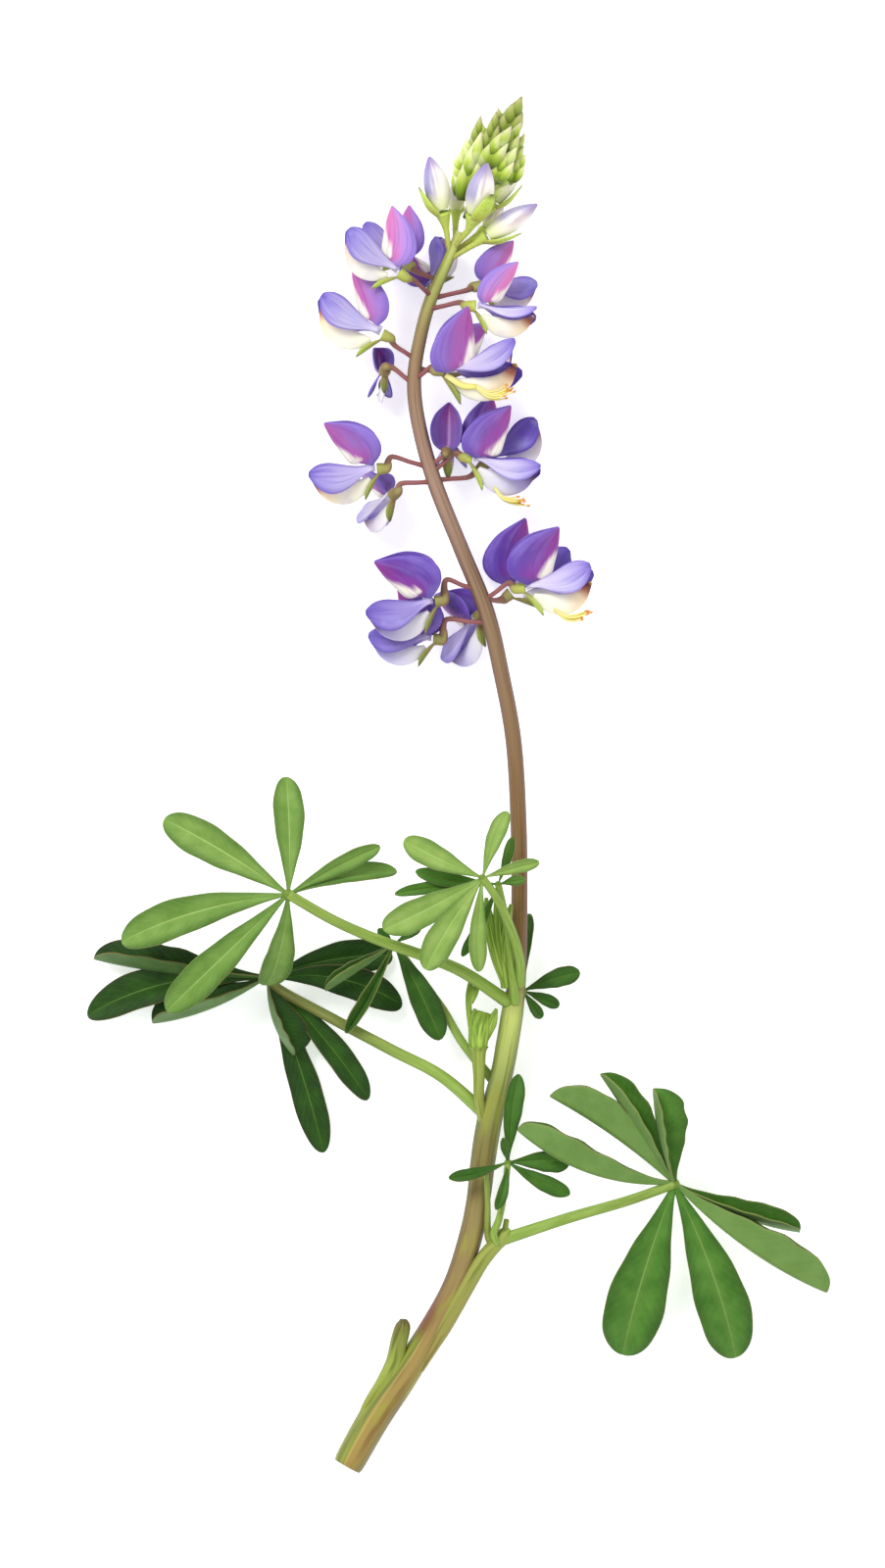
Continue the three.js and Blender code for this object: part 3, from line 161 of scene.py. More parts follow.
# Flowers. root: where the pedicel leaves the stem, as its Y. neck: [x, y] where the calyx
# starts. mouth: [x, y, z] where it opens. Angles in degrees. facing: heading (in the plane,
# from +X), pitch (nose up) and roll (back leaning up off the surface). banner: its turn about
# the side axis, and its depth as a share of a full-grown one. wings: turn of the near and of
# the far one, and the near one's outward lean. keel: its turn. size scales the petals.
FLOWER_FIELDS = ["name", "root", "neck", "mouth", "facing", "banner", "wings", "keel", "size"]
FLOWERS = [
    ["11", 36.0, [-2.2, 37.9], [-4.3, 33.9, 13.4], [190, 4, 8], [-24, 1.0], [0, 0, 31], 0, 1.0],
    ["12", 30.0, [-2.2, 30.6], [-4.6, 27.1, 8.2], [177, -3, -6], [-9, 0.9], [0, 0, 31], 6, 0.93],
    ["13", 31.6, [4.4, 31.8], [3.6, 31.0, 7.9], [230, -36, 10], [4, 0.85], [0, 0, 31], 0, 0.9],
    ["14", 34.0, [9.4, 37.4], [12.4, 36.5, 13.2], [8, 4, 8], [-10, 1.0], [12, 4, 36], 2, 1.0],
    ["15", 34.6, [7.0, 34.2], [9.9, 35.6, 5.4], [38, -2, 0], [-27, 0.95], [0, 0, 31], 0, 1.04],
    ["21", 58.6, [-12.2, 60.5], [-14.9, 58.2, 13.4], [185, 4, 8], [-20, 0.85], [0, 0, 31], 0, 0.98],
    ["22", 56.0, [-10.4, 55.6], [-12.0, 53.5, 10.0], [214, -48, -6], [-28, 0.62], [0, 0, 31], 0, 0.8],
    ["23", 57.6, [-0.4, 61.2], [2.7, 60.2, 12.1], [-8, 4, 8], [3, 0.88], [2, -4, 56], 2, 1.0],
    ["24", 56.2, [2.0, 56.9], [5.3, 59.6, 5.2], [42, -2, 0], [-23, 0.9], [0, 0, 31], 0, 0.95],
    ["25", 58.8, [-2.6, 60.6], [-2.0, 61.3, 11.2], [30, -84, 0], [0, 0.85], [0, 0, 31], 12, 0.86],
    ["31", 78.4, [-11.6, 81.0], [-14.0, 83.0, 12.4], [156, 2, 2], [-24, 0.66], [10, 6, 31], 10, 1.03],
    ["32", 73.8, [-11.8, 76.8], [-13.5, 76.2, 9.0], [248, -62, 0], [4, 0.8], [0, 0, 31], 0, 0.64],
    ["33", 74.6, [-4.8, 77.0], [-2.4, 76.2, 15.6], [0, 4, 12], [14, 0.84], [26, -3, 60], 12, 1.12],
    ["34", 77.0, [-3.4, 76.0], [0.3, 76.6, 7.6], [26, -4, -38], [-30, 0.8], [0, 0, 31], 0, 0.82],
    ["41", 90.0, [-8.0, 92.8], [-10.9, 94.2, 16.6], [146, 4, 6], [-13, 0.78], [8, 6, 31], 12, 0.95],
    ["42", 93.0, [-7.6, 94.6], [-9.7, 96.6, 8.6], [137, 2, 2], [-12, 0.8], [0, 0, 31], 0, 0.8],
    ["43", 88.4, [-5.0, 90.2], [-4.6, 92.4, 4.0], [84, 2, 0], [-10, 0.8], [0, 0, 31], 0, 0.7],
    ["44", 87.6, [0.2, 88.8], [3.4, 88.0, 14.2], [-4, 4, 8], [-13, 0.65], [4, -8, 74], 0, 0.88],
    ["45", 89.6, [1.6, 91.2], [4.5, 91.9, 7.6], [3, -2, 0], [-10, 0.85], [0, 0, 31], 0, 0.8],
]
STAMEN_FLOWERS = ["14", "23", "33"]
CALYX_NECK = 0.36  # share of the way from stem height to mouth height at the neck

# A banner from the side, [forward, up]: its fold line, and the edge of one half
BANNER_SPINE = [[0.5, 0.7], [2.6, 1.0], [4.7, 1.6], [5.5, 4.2], [6.1, 7.4], [6.3, 10.4]]
BANNER_EDGE = [[0.3, 1.0], [0.5, 0.2], [-2.6, 2.0], [-2.8, 5.2], [0.4, 8.6], [6.0, 10.7]]
BANNER_SPREAD = 0.46  # how far a half stands to the side, as a share of its depth
BANNER_PIVOT = [4.7, 1.6]
BANNER_HINGE = 0.4  # share of the banner's length over which its turn comes in
# A wing along its length: [forward, up, half width, distance from the middle]
WING = [
    [0.7, 0.5, 0.6, 0.8], [2.6, 0.0, 0.9, 1.1], [4.6, -0.6, 1.8, 1.8], [6.9, -0.9, 2.8, 2.3],
    [9.0, -0.8, 3.2, 2.4], [10.9, -0.5, 2.6, 2.0], [12.2, -0.2, 1.3, 1.5], [12.7, -0.1, 0.5, 1.3],
]
WING_LEAN = 31  # outward lean of a wing's lower edge, degrees
WING_PIVOT = [0.7, 0.5]
WING_INNER = 0.48  # nearest a wing comes to the flower's middle plane
WING_CUP = 0.12  # how far a wing's edges curl in, as a share of its half width
PETAL_ROOT = [[0.3, 0, 0.5, 0.9], [2.0, 0, 0.5, 0.8]]
# A keel along its length: [forward, up, half height, half width]
KEEL = [
    [1.3, -1.7, 0.5, 0.5], [3.6, -3.3, 1.7, 0.9], [6.4, -4.2, 2.0, 1.05], [9.4, -3.5, 1.5, 0.9],
    [12.1, -1.1, 0.3, 0.3],
]
# Stamens and style that hang out of a keel: [forward, to the side, up, radius]
STAMENS = [[4.6, 0.3, -4.8, 0.45], [6.6, 0.9, -6.4, 0.5], [8.8, 1.0, -6.8, 0.45], [11.0, 1.0, -6.6, 0.32]]
# The calyx's lower lip: a pointed boat below the keel
LOWER_LIP = {"from": [-0.5, -0.7], "to": [2.5, -5.6], "width": 2.2, "hollow": 1.0}
LIP_OUTLINE = [0.5, 2, -2.35]  # width along the lip: constant, linear and square terms

# Large buds below the head: name, root Y, neck [x, y, z], petals from and to [x, y, z], and
# their radius
BUDS = [
    ["1", 97.6, [-2.2, 102.6, 11.4], [-2.9, 105.8, 12.4], [-5.2, 115.6, 12.8], 2.5],
    ["2", 98.6, [2.0, 102.2, 12.6], [3.0, 105.0, 13.8], [5.4, 114.2, 16.4], 2.5],
    ["3", 96.6, [3.4, 99.8, 10.6], [5.6, 101.2, 11.0], [14.6, 106.9, 11.4], 2.2],
    ["4", 99.6, [-0.4, 104.0, 7.2], [-0.3, 106.0, 6.4], [-0.2, 111.6, 5.0], 1.6],
    ["5", 100.0, [5.0, 105.2, 7.6], [6.8, 107.6, 7.0], [11.6, 116.2, 6.8], 2.2],
    ["6", 97.8, [3.6, 101.4, 6.0], [5.0, 102.8, 4.5], [8.4, 107.2, 3.6], 1.5],
]
BUD_SETBACK = 0.45  # calyx opening behind the petals
# The lower lip under a bud: [share of the bud's length, clearance outside it as a share of its
# radius and in mm], and how far round the bud it wraps, in degrees each way
BUD_LIP = [[-0.14, 0.2, 0.3], [0.1, 0.75, 0.75], [0.5, 1.0, 0.75]]
BUD_LIP_WRAP = 62
BUD_LIP_TAPER = 0.9  # how much narrower the lip is at its tip
BUD_SEAT = 0.62  # radius of a bud's calyx behind it, as a share of the bud's

# The head: an axis, the buds of its front, and smaller ones set round it by the golden angle
HEAD_AXIS = [[1.6, 104.2, 9.8, 0.8], [4.0, 110.0, 9.8, 1.5], [6.2, 115.6, 9.7, 1.5], [9.4, 121.6, 9.6, 0.9]]
# Buds of the front: [[x, y, z] from, [x, y, z] to, radius]
FRONT_BUDS = [
    [[1.2, 107.6, 11.4], [4.0, 120.0, 13.6], 2.0],
    [[4.6, 113.0, 12.6], [9.6, 121.2, 14.2], 1.9],
    [[6.2, 110.4, 11.4], [10.6, 117.4, 13.0], 1.8],
    [[0.4, 108.4, 8.8], [1.4, 119.0, 8.6], 1.7],
    [[3.0, 115.4, 9.8], [4.0, 123.2, 10.6], 1.4],
    [[5.6, 116.0, 11.6], [6.9, 124.0, 12.4], 1.4],
    [[8.2, 115.6, 11.6], [11.5, 122.0, 12.4], 1.4],
    [[9.0, 113.2, 9.0], [12.2, 120.2, 9.2], 1.5],
    [[8.4, 118.6, 9.8], [11.5, 126.9, 10.4], 2.1],
    [[7.4, 118.8, 9.4], [9.8, 125.6, 9.4], 1.4],
]
HEAD_BUDS = 12
HEAD_SPAN = [0.2, 0.9]  # shares of the axis where the first and the last bud sit
GOLDEN_ANGLE = 137.508
HEAD_BUD_LENGTH = [9.0, 5.0]  # at the bottom and at the tip
HEAD_BUD_RADIUS = [1.9, 1.2]
HEAD_BUD_LEAN = [32, 10]  # degrees from the axis


# ---- numbers and curves ----
def unit(v):
    v = np.asarray(v, float)
    return v / np.maximum(np.linalg.norm(v, axis=-1, keepdims=True), 1e-12)


def mix(a, b, t):
    return a + (b - a) * t


def smooth(value, low, high):
    """0 below low, 1 above high, and a smooth rise between them."""
    t = np.clip((value - low) / (high - low), 0, 1)
    return t * t * (3 - 2 * t)


def spline(rows, t):
    """The rows at each t (0 to 1) on a uniform Catmull-Rom spline."""
    rows = np.asarray(rows, float)
    last = len(rows) - 1
    place = np.clip(np.asarray(t, float), 0, 1) * last
    i = np.minimum(place.astype(int), last - 1)
    f = (place - i)[..., None]
    a, b, c, d = rows[np.maximum(i - 1, 0)], rows[i], rows[i + 1], rows[np.minimum(i + 2, last)]
    cubic = (3 * b - a - 3 * c + d) * f**3
    return 0.5 * (2 * b + (c - a) * f + (2 * a - 5 * b + 4 * c - d) * f * f + cubic)


def direction_at(rows, t, near=0.01):
    return unit(spline(rows, t + near)[..., :3] - spline(rows, t - near)[..., :3])


def stem_at(y, steps=4000):
    """The middle of the stem where its Y is y."""
    t = np.linspace(0, 1, steps + 1)
    return spline(STEM, np.interp(y, spline(STEM, t)[:, 1], t))[:3]


def rotated(v, axis, degrees):
    v, axis = np.asarray(v, float), unit(axis)
    c, s = np.cos(np.radians(degrees)), np.sin(np.radians(degrees))
    return v * c + np.cross(axis, v) * s + axis * (v @ axis) * (1 - c)


def turned(x, z, pivot, degrees):
    """(forward, up) turned about a pivot."""
    c, s = np.cos(np.radians(degrees)), np.sin(np.radians(degrees))
    dx, dz = x - pivot[0], z - pivot[1]
    return pivot[0] + dx * c - dz * s, pivot[1] + dx * s + dz * c


def lattice(rows, columns):
    """Shares along (0 to 1) and across (-1 to 1) of a grid of points."""
    return np.meshgrid(np.linspace(0, 1, rows), np.linspace(-1, 1, columns), indexing="ij")


# ---- meshes ----
class Shape:
    """Gathers closed bodies into one mesh. paint holds four numbers a point, for the materials:
    along, across, tone and side."""

    def __init__(self):
        self.points, self.paint, self.faces, self.slots, self.count = [], [], [], [], 0

    def add(self, points, paint, *blocks, slot=0):
        """Adds points and the blocks of faces between them, painted from a material slot."""
        self.points.append(np.reshape(points, (-1, 3)))
        self.paint.append(np.reshape(paint, (-1, 4)))
        for block in blocks:
            self.faces += (block + self.count).tolist()
            self.slots += [slot] * len(block)
        self.count += len(self.points[-1])

    def piece(self, node, materials, node_slot):
        """The finished Blender object, riding on the frame in its node's place."""
        points = np.concatenate(self.points) - BOX_CENTRE
        points[:, 2] = np.maximum(points[:, 2], 0)
        name = f"dressed_{node}"
        mesh = bpy.data.meshes.new(name)
        mesh.from_pydata((points * MM).tolist(), [], self.faces)
        mesh.polygons.foreach_set("material_index", self.slots)
        mesh.polygons.foreach_set("use_smooth", [True] * len(self.faces))
        layer = mesh.attributes.new("paint", "FLOAT_COLOR", "POINT")
        layer.data.foreach_set("color", np.concatenate(self.paint).astype(np.float32).ravel())
        for material in materials:
            mesh.materials.append(material)
        mesh.update()
        piece = bpy.data.objects.new(name, mesh)
        bpy.context.scene.collection.objects.link(piece)
        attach(piece, "root")
        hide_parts(node)


def grid_faces(rows, columns, wrap=False):
    """Quads of a grid of points, the columns joined round when wrap is true."""
    across = columns if wrap else columns - 1
    i, j = np.meshgrid(np.arange(rows - 1), np.arange(across), indexing="ij")
    a = i * columns + j
    b = i * columns + (j + 1) % columns
    return np.stack([a, b, b + columns, a + columns], -1).reshape(-1, 4)


def painted(u, v, tone):
    """Paint for a grid of points: its along, its across and one tone."""
    paint = np.zeros(u.shape + (4,))
    paint[..., 0], paint[..., 1], paint[..., 2] = u, v, tone
    return paint


def add_sheet(shape, grid, paint, thickness, slot=0):
    """A blade about a grid of points (along, across), thinner at its rim. side is 1 on top.
    Returns the points and their normals."""
    rows, columns = grid.shape[:2]
    across = np.abs(np.linspace(-1, 1, columns))[None, :]
    along = np.linspace(0, 1, rows)[:, None]
    edge = np.maximum(across, along) ** RIM_ONSET
    half = (thickness / 2 * (1 - (1 - RIM_SHARE) * edge))[..., None]
    normal = unit(np.cross(np.gradient(grid, axis=0), np.gradient(grid, axis=1)))
    points = np.stack([grid + normal * half, grid - normal * half])
    paint = np.stack([paint, paint])
    paint[..., 3] = np.array([1, -1])[:, None, None]
    count = rows * columns
    faces = grid_faces(rows, columns)
    first = np.arange(rows) * columns
    loop = np.concatenate([
        first,
        (rows - 1) * columns + np.arange(1, columns),
        first[-2::-1] + columns - 1,
        np.arange(columns - 2, 0, -1),
    ])
    after = np.roll(loop, -1)
    sides = np.stack([loop, loop + count, after + count, after], -1)
    shape.add(points, paint, faces[:, ::-1], faces + count, sides, slot=slot)
    return grid, normal


def add_loft(shape, points, paint, ends, end_paint, slot=0):
    """A closed body from rings of points, with a fan to a point at each end."""
    rows, sides = points.shape[:2]
    count = rows * sides
    k = np.arange(sides)
    after = (k + 1) % sides
    foot = np.stack([k * 0 + count, after, k], -1)
    top = np.stack([k * 0 + count + 1, count - sides + k, count - sides + after], -1)
    points = np.concatenate([points.reshape(-1, 3), ends])
    paint = np.concatenate([paint.reshape(-1, 4), end_paint])
    shape.add(points, paint, grid_faces(rows, sides, wrap=True), foot, top, slot=slot)


def frame_along(centres, first_side=None):
    """Side and other directions of a line of points, carried along it without twist."""
    ahead = unit(np.gradient(centres, axis=0))
    side = np.array([ahead[0][2], 0, -ahead[0][0]] if first_side is None else first_side, float)
    if side @ side < 0.01:  # the line starts along Y
        side = np.array([1.0, 0, 0])
    sides = []
    for a in ahead:
        side = unit(side - a * (side @ a))
        sides.append(side)
    sides = np.array(sides)
    return sides, np.cross(ahead, sides)


def no_relief(t, angle):
    return np.ones(np.broadcast_shapes(t.shape, angle.shape))


def add_tube(shape, rows, grid, tone=0.0, slot=0, relief=no_relief, reach=(0, 1), first_side=None):
    """A bar along a spline through [x, y, z, radius] rows, with a grid of (sides, steps). relief
    gives the radius's share at each (t, angle), reach the paint's along at both ends. Returns
    its points and their outward directions."""
    sides, steps = grid
    t = np.linspace(0, 1, steps + 1)
    line = spline(rows, t)
    side, other = frame_along(line[:, :3], first_side)
    angle = np.arange(sides) * 2 * np.pi / sides
    out = side[:, None] * np.cos(angle)[:, None] + other[:, None] * np.sin(angle)[:, None]
    swell = relief(t[:, None], angle[None, :])[..., None]
    points = line[:, None, :3] + out * (line[:, None, 3:4] * swell)
    along = np.repeat(mix(*reach, t)[:, None], sides, axis=1)
    paint = painted(along, out[..., 2], tone)
    paint[..., 3] = out[..., 0]
    end_paint = [paint[0].mean(0), paint[-1].mean(0)]
    add_loft(shape, points, paint, line[[0, -1], :3], end_paint, slot)
    return points, out


def add_hairs(shape, points, out, ahead, hairs, tone, slot):
    """Fine needles that stand on a surface and lean ahead along it. hairs: (number, length)."""
    number, length = hairs
    points, out = points.reshape(-1, 3), out.reshape(-1, 3)
    picked = random.integers(0, len(points), number)
    root, normal = points[picked], unit(out[picked])
    lean = unit(ahead + random.normal(0, HAIR_SCATTER, root.shape))
    reach = length * random.uniform(*HAIR_LENGTHS, (number, 1))
    along = unit(normal * HAIR_RISE + lean * random.uniform(*HAIR_LEANS, (number, 1)))
    across = unit(np.cross(along, random.normal(0, 1, root.shape))) * HAIR_WIDTH
    other = np.cross(along, across)
    base = [root + across, root - across * 0.5 + other * 0.87, root - across * 0.5 - other * 0.87]
    block = np.stack([*base, root + along * reach], 1)
    first = np.arange(number)[:, None] * 4
    faces = [first + row for row in ([0, 1, 3], [1, 2, 3], [2, 0, 3])]
    paint = np.zeros((number, 4, 4))
    paint[:, 3, 0] = 1
    paint[..., 2] = tone
    shape.add(block, paint, *faces, slot=slot)


# ---- materials ----
def colour(red, green, blue):
    """A linear colour from 0 to 255 display values, by the sRGB curve."""
    shares = (value / 255 for value in (red, green, blue))
    return (*(s / 12.92 if s < 0.0405 else ((s + 0.055) / 1.055) ** 2.4 for s in shares), 1.0)


class Paint:
    """A material whose colour comes from a piece's own paint and from noise. Colours are
    (red, green, blue) from 0 to 255, and base is the colour so far."""

    def __init__(self, name, roughness, sheen=0.0, subsurface=0.0, specular=0.3):
        self.material = bpy.data.materials.new(name)
        self.material.use_nodes = True
        self.tree = self.material.node_tree
        self.shader = self.tree.nodes["Principled BSDF"]
        inputs = self.shader.inputs
        inputs["Roughness"].default_value = roughness
        inputs["Sheen Weight"].default_value = sheen
        inputs["Specular IOR Level"].default_value = specular
        inputs["Subsurface Weight"].default_value = subsurface
        inputs["Subsurface Radius"].default_value = (1.0, 0.8, 0.9)
        inputs["Subsurface Scale"].default_value = SOFT_DEPTH * MM
        attribute = self.node("Attribute")
        attribute.attribute_name = "paint"
        split = self.node("SeparateColor", attribute.outputs["Color"])
        self.along, self.across, self.tone = split.outputs[:3]
        self.side = attribute.outputs["Alpha"]
        self.edge = self.math("ABSOLUTE", self.across)
        self.place = self.node("TexCoord").outputs["Object"]
        self.base = None

    def feed(self, socket, value):
        if isinstance(value, bpy.types.NodeSocket):
            self.tree.links.new(value, socket)
        elif isinstance(value, tuple):
            socket.default_value = colour(*value)
        else:
            socket.default_value = value

    def node(self, kind, *values):
        """A new node, its first sockets fed with the values."""
        node = self.tree.nodes.new(f"ShaderNode{kind}")
        for socket, value in zip(node.inputs, values):
            self.feed(socket, value)
        return node

    def math(self, operation, *values):
        node = self.node("Math", *values)
        node.operation = operation
        return node.outputs[0]

    def times(self, first, *others):
        for other in others:
            first = self.math("MULTIPLY", first, other)
        return first

    def plus(self, first, *others):
        for other in others:
            first = self.math("ADD", first, other)
        return first

    def span(self, value, low, high, start=0.0, end=1.0):
        """start below low, end above high, and a smooth change between them."""
        node = self.node("MapRange", value, low, high, start, end)
        node.interpolation_type = "SMOOTHSTEP"
        return node.outputs[0]

    def fall(self, value, low, high):
        return self.span(value, low, high, 1.0, 0.0)

    def ramp(self, factor, *stops):
        """Colours between stops of (place, red, green, blue)."""
        node = self.node("ValToRGB", factor)
        band = node.color_ramp
        while len(band.elements) < len(stops):
            band.elements.new(0.5)
        for element, (place, *shade) in zip(band.elements, stops):
            element.position = place
            element.color = colour(*shade)
        return node.outputs[0]

    def blend(self, factor, a, b, kind="MIX"):
        node = self.node("Mix")
        node.data_type = "RGBA"
        node.blend_type = kind
        for place, value in (("Factor", factor), (6, a), (7, b)):
            self.feed(node.inputs[place], value)
        return node.outputs[2]

    def coat(self, factor, shade):
        self.base = self.blend(factor, self.base, shade)

    def darken(self, factor, shade):
        self.coat(factor, self.blend(1.0, self.base, shade, "MULTIPLY"))

    def two_tone(self, factor, first, second):
        """base runs from a ramp of the first stops at tone 0 to one of the second at tone 1."""
        self.base = self.blend(self.tone, self.ramp(factor, *first), self.ramp(factor, *second))

    def cloud(self, vector, detail):
        node = self.node("TexNoise", vector)
        node.inputs["Scale"].default_value = 1.0
        node.inputs["Detail"].default_value = detail
        return node.outputs["Fac"]

    def noise(self, size, detail=2.0):
        """Noise with features about size millimetres across, from 0 to 1."""
        scale = self.node("VectorMath", self.place, [1 / (MM * size)] * 3)
        scale.operation = "MULTIPLY"
        return self.cloud(scale.outputs[0], detail)

    def streaks(self, across, along, detail=2.0):
        """Noise drawn out along a piece: about across and along features span its sides."""
        around = self.plus(self.times(self.side, across), self.times(self.tone, 7.0))
        join = self.node("CombineXYZ", self.times(self.across, across), self.times(self.along, along), around)
        return self.cloud(join.outputs[0], detail)

    def waver(self, noise, share):
        """Noise about zero, of a share of its strength."""
        return self.times(self.plus(noise, -0.5), share)

    def finish(self, height=None, strength=0.3, distance=0.1):
        """Joins the base colour, and a bump of a height in units of distance millimetres."""
        self.feed(self.shader.inputs["Base Color"], self.base)
        if height is not None:
            bump = self.node("Bump")
            bump.inputs["Strength"].default_value = strength
            bump.inputs["Distance"].default_value = distance * MM
            self.feed(bump.inputs["Height"], height)
            self.feed(self.shader.inputs["Normal"], bump.outputs[0])
        return self.material


def leaf_material():
    """tone runs from a bright young leaf to a dark old one."""
    m = Paint("leaf", 0.6, sheen=0.05, subsurface=0.1, specular=0.22)
    blotch = m.noise(4.0, 3.0)
    young = m.ramp(blotch, (0.3, 120, 153, 65), (0.7, 148, 175, 91))
    grown = m.ramp(blotch, (0.3, 58, 108, 24), (0.7, 82, 132, 44))
    old = m.ramp(blotch, (0.3, 20, 52, 4), (0.7, 38, 80, 11))
    top = m.blend(m.span(m.tone, 0.5, 1.0), m.blend(m.span(m.tone, 0.0, 0.5), young, grown), old)
    upper = m.span(m.side, -0.2, 0.2)
    m.base = m.blend(m.tone, (120, 156, 76), (72, 108, 48))
    m.coat(m.span(blotch, 0.35, 0.7, 0.0, 0.3), (126, 160, 88))
    m.coat(upper, top)
    # Paler near the midrib, and on the upper face darker towards the rim: painted light and shade of the
    # folded halves.
    m.coat(m.span(m.edge, 0.0, 0.4, 0.3, 0.0), m.blend(m.tone, (146, 180, 88), (58, 102, 22)))
    m.coat(m.times(m.span(m.edge, 0.4, 1.0), upper, 0.6), m.blend(m.tone, (54, 96, 22), (14, 38, 3)))
    slant = m.plus(m.times(m.along, 15.0), m.times(m.edge, -3.0))
    ripple = m.math("PINGPONG", m.plus(slant, m.times(m.noise(4.0), 0.6)), 0.5)
    vein = m.fall(ripple, 0.0, 0.12)
    m.coat(m.times(vein, m.span(m.tone, 0.1, 0.6, 0.14, 0.04)), (150, 186, 112))
    width = m.span(m.tone, 0.1, 0.5, 0.08, 0.045)
    midrib = m.times(m.fall(m.edge, 0.02, width), m.span(m.along, 0.0, 1.0, 0.95, 0.35))
    m.coat(midrib, m.blend(m.span(m.tone, 0.2, 0.6), (176, 204, 122), (116, 156, 74)))
    margin = m.times(m.span(m.edge, 0.955, 0.99), 0.55)
    m.coat(margin, m.blend(m.tone, (150, 160, 92), (128, 98, 60)))
    rib = m.plus(m.times(midrib, -1.2), m.times(vein, -0.25))
    return m.finish(m.plus(m.times(rib, m.side), m.times(m.noise(0.4), 0.5)), 0.4, 0.1)


def petiole_material():
    """tone 0 is green all along, 1 turns brown towards the hub, where along is 0."""
    m = Paint("petiole", 0.55, subsurface=0.1)
    streak = m.streaks(3.0, 6.0, 2.0)
    m.base = m.ramp(streak, (0.3, 122, 152, 56), (0.7, 152, 180, 84))
    # Darker olive where the surface faces sideways and down: painted shade.
    m.coat(m.span(m.across, -0.2, 0.8, 0.7, 0.0), (84, 112, 28))
    brown = m.ramp(streak, (0.3, 84, 92, 40), (0.7, 128, 122, 66))
    m.coat(m.times(m.tone, m.fall(m.along, 0.25, 0.8)), brown)
    return m.finish(streak, 0.2, 0.08)


def shoot_material():
    """Folded young leaflets: dark streaks of painted shade between the folds, pale on them."""
    m = Paint("shoot", 0.6, subsurface=0.1)
    streak = m.streaks(5.0, 2.0, 3.0)
    m.base = m.ramp(streak, (0.35, 96, 130, 34), (0.65, 170, 198, 84))
    m.coat(m.span(m.along, 0.5, 1.0, 0.0, 0.6), (112, 134, 44))
    return m.finish(streak, 0.5, 0.15)


# The stem's colours from its cut end to its tip, along its middle, which faces up and carries a painted
# highlight, and along its rims, which carry painted shade
STEM_LIT_MIDDLE = [
    (0.0, 158, 134, 68), (0.1, 156, 134, 72), (0.14, 146, 120, 76), (0.22, 144, 128, 76),
    (0.3, 130, 122, 64), (0.35, 152, 164, 88), (0.43, 184, 198, 104), (0.49, 130, 100, 58),
    (0.56, 124, 94, 54), (0.68, 142, 116, 88), (0.76, 160, 130, 112), (0.84, 150, 120, 92),
    (0.88, 158, 138, 90), (0.915, 164, 162, 88), (0.95, 174, 184, 94), (1.0, 186, 198, 106),
]
STEM_SHADED_RIM = [
    (0.0, 116, 110, 54), (0.12, 110, 82, 54), (0.22, 100, 88, 48), (0.35, 94, 108, 42),
    (0.44, 126, 138, 62), (0.5, 106, 80, 60), (0.76, 118, 88, 76), (0.88, 116, 100, 62),
    (0.92, 120, 122, 56), (1.0, 132, 148, 64),
]


def stem_material():
    m = Paint("stem", 0.5)
    streak = m.streaks(2.6, 9.0, 3.0)
    # The rims carry painted shade and the middle that faces up a painted highlight, over the stem's own
    # colours along it.
    m.base = m.ramp(m.along, *STEM_SHADED_RIM)
    m.coat(m.span(m.plus(m.across, m.times(streak, 0.5)), 0.55, 1.25), m.ramp(m.along, *STEM_LIT_MIDDLE))
    m.darken(m.span(streak, 0.48, 0.7, 0.0, 0.8), (198, 178, 160))
    patches = m.times(m.span(m.streaks(1.1, 16.0), 0.52, 0.66), m.span(m.along, 0.3, 0.46, 0.7, 0.0))
    m.coat(patches, (150, 152, 52))
    low = m.fall(m.along, 0.1, 0.13)
    left = m.plus(m.side, m.times(streak, 0.3))
    flank = m.ramp(streak, (0.35, 148, 156, 62), (0.6, 108, 116, 46))
    m.coat(m.times(m.fall(left, -0.2, -0.05), low), flank)
    m.coat(m.times(m.span(left, -0.2, -0.1), m.fall(left, -0.1, 0.0), low, 0.5), (196, 176, 96))
    node = m.times(m.span(m.along, 0.1, 0.118), m.fall(m.along, 0.125, 0.15))
    m.coat(m.times(node, m.span(left, 0.1, -0.4), 0.7), (112, 54, 46))
    return m.finish(streak, 0.3, 0.12)


def strand_material(name, low, middle, high):
    """A green strand of the stem, from its foot to its end."""
    m = Paint(name, 0.5)
    streak = m.streaks(2.2, 3.0, 3.0)
    m.base = m.ramp(m.plus(m.along, m.waver(streak, 0.4)), (0.0, *low), (0.45, *middle), (1.0, *high))
    m.darken(m.span(streak, 0.45, 0.68, 0.0, 0.7), (176, 176, 110))
    # Darker where the surface faces sideways and down: painted shade.
    m.darken(m.span(m.across, -0.3, 0.75, 0.8, 0.0), (150, 140, 100))
    return m.finish(streak, 0.3, 0.12)


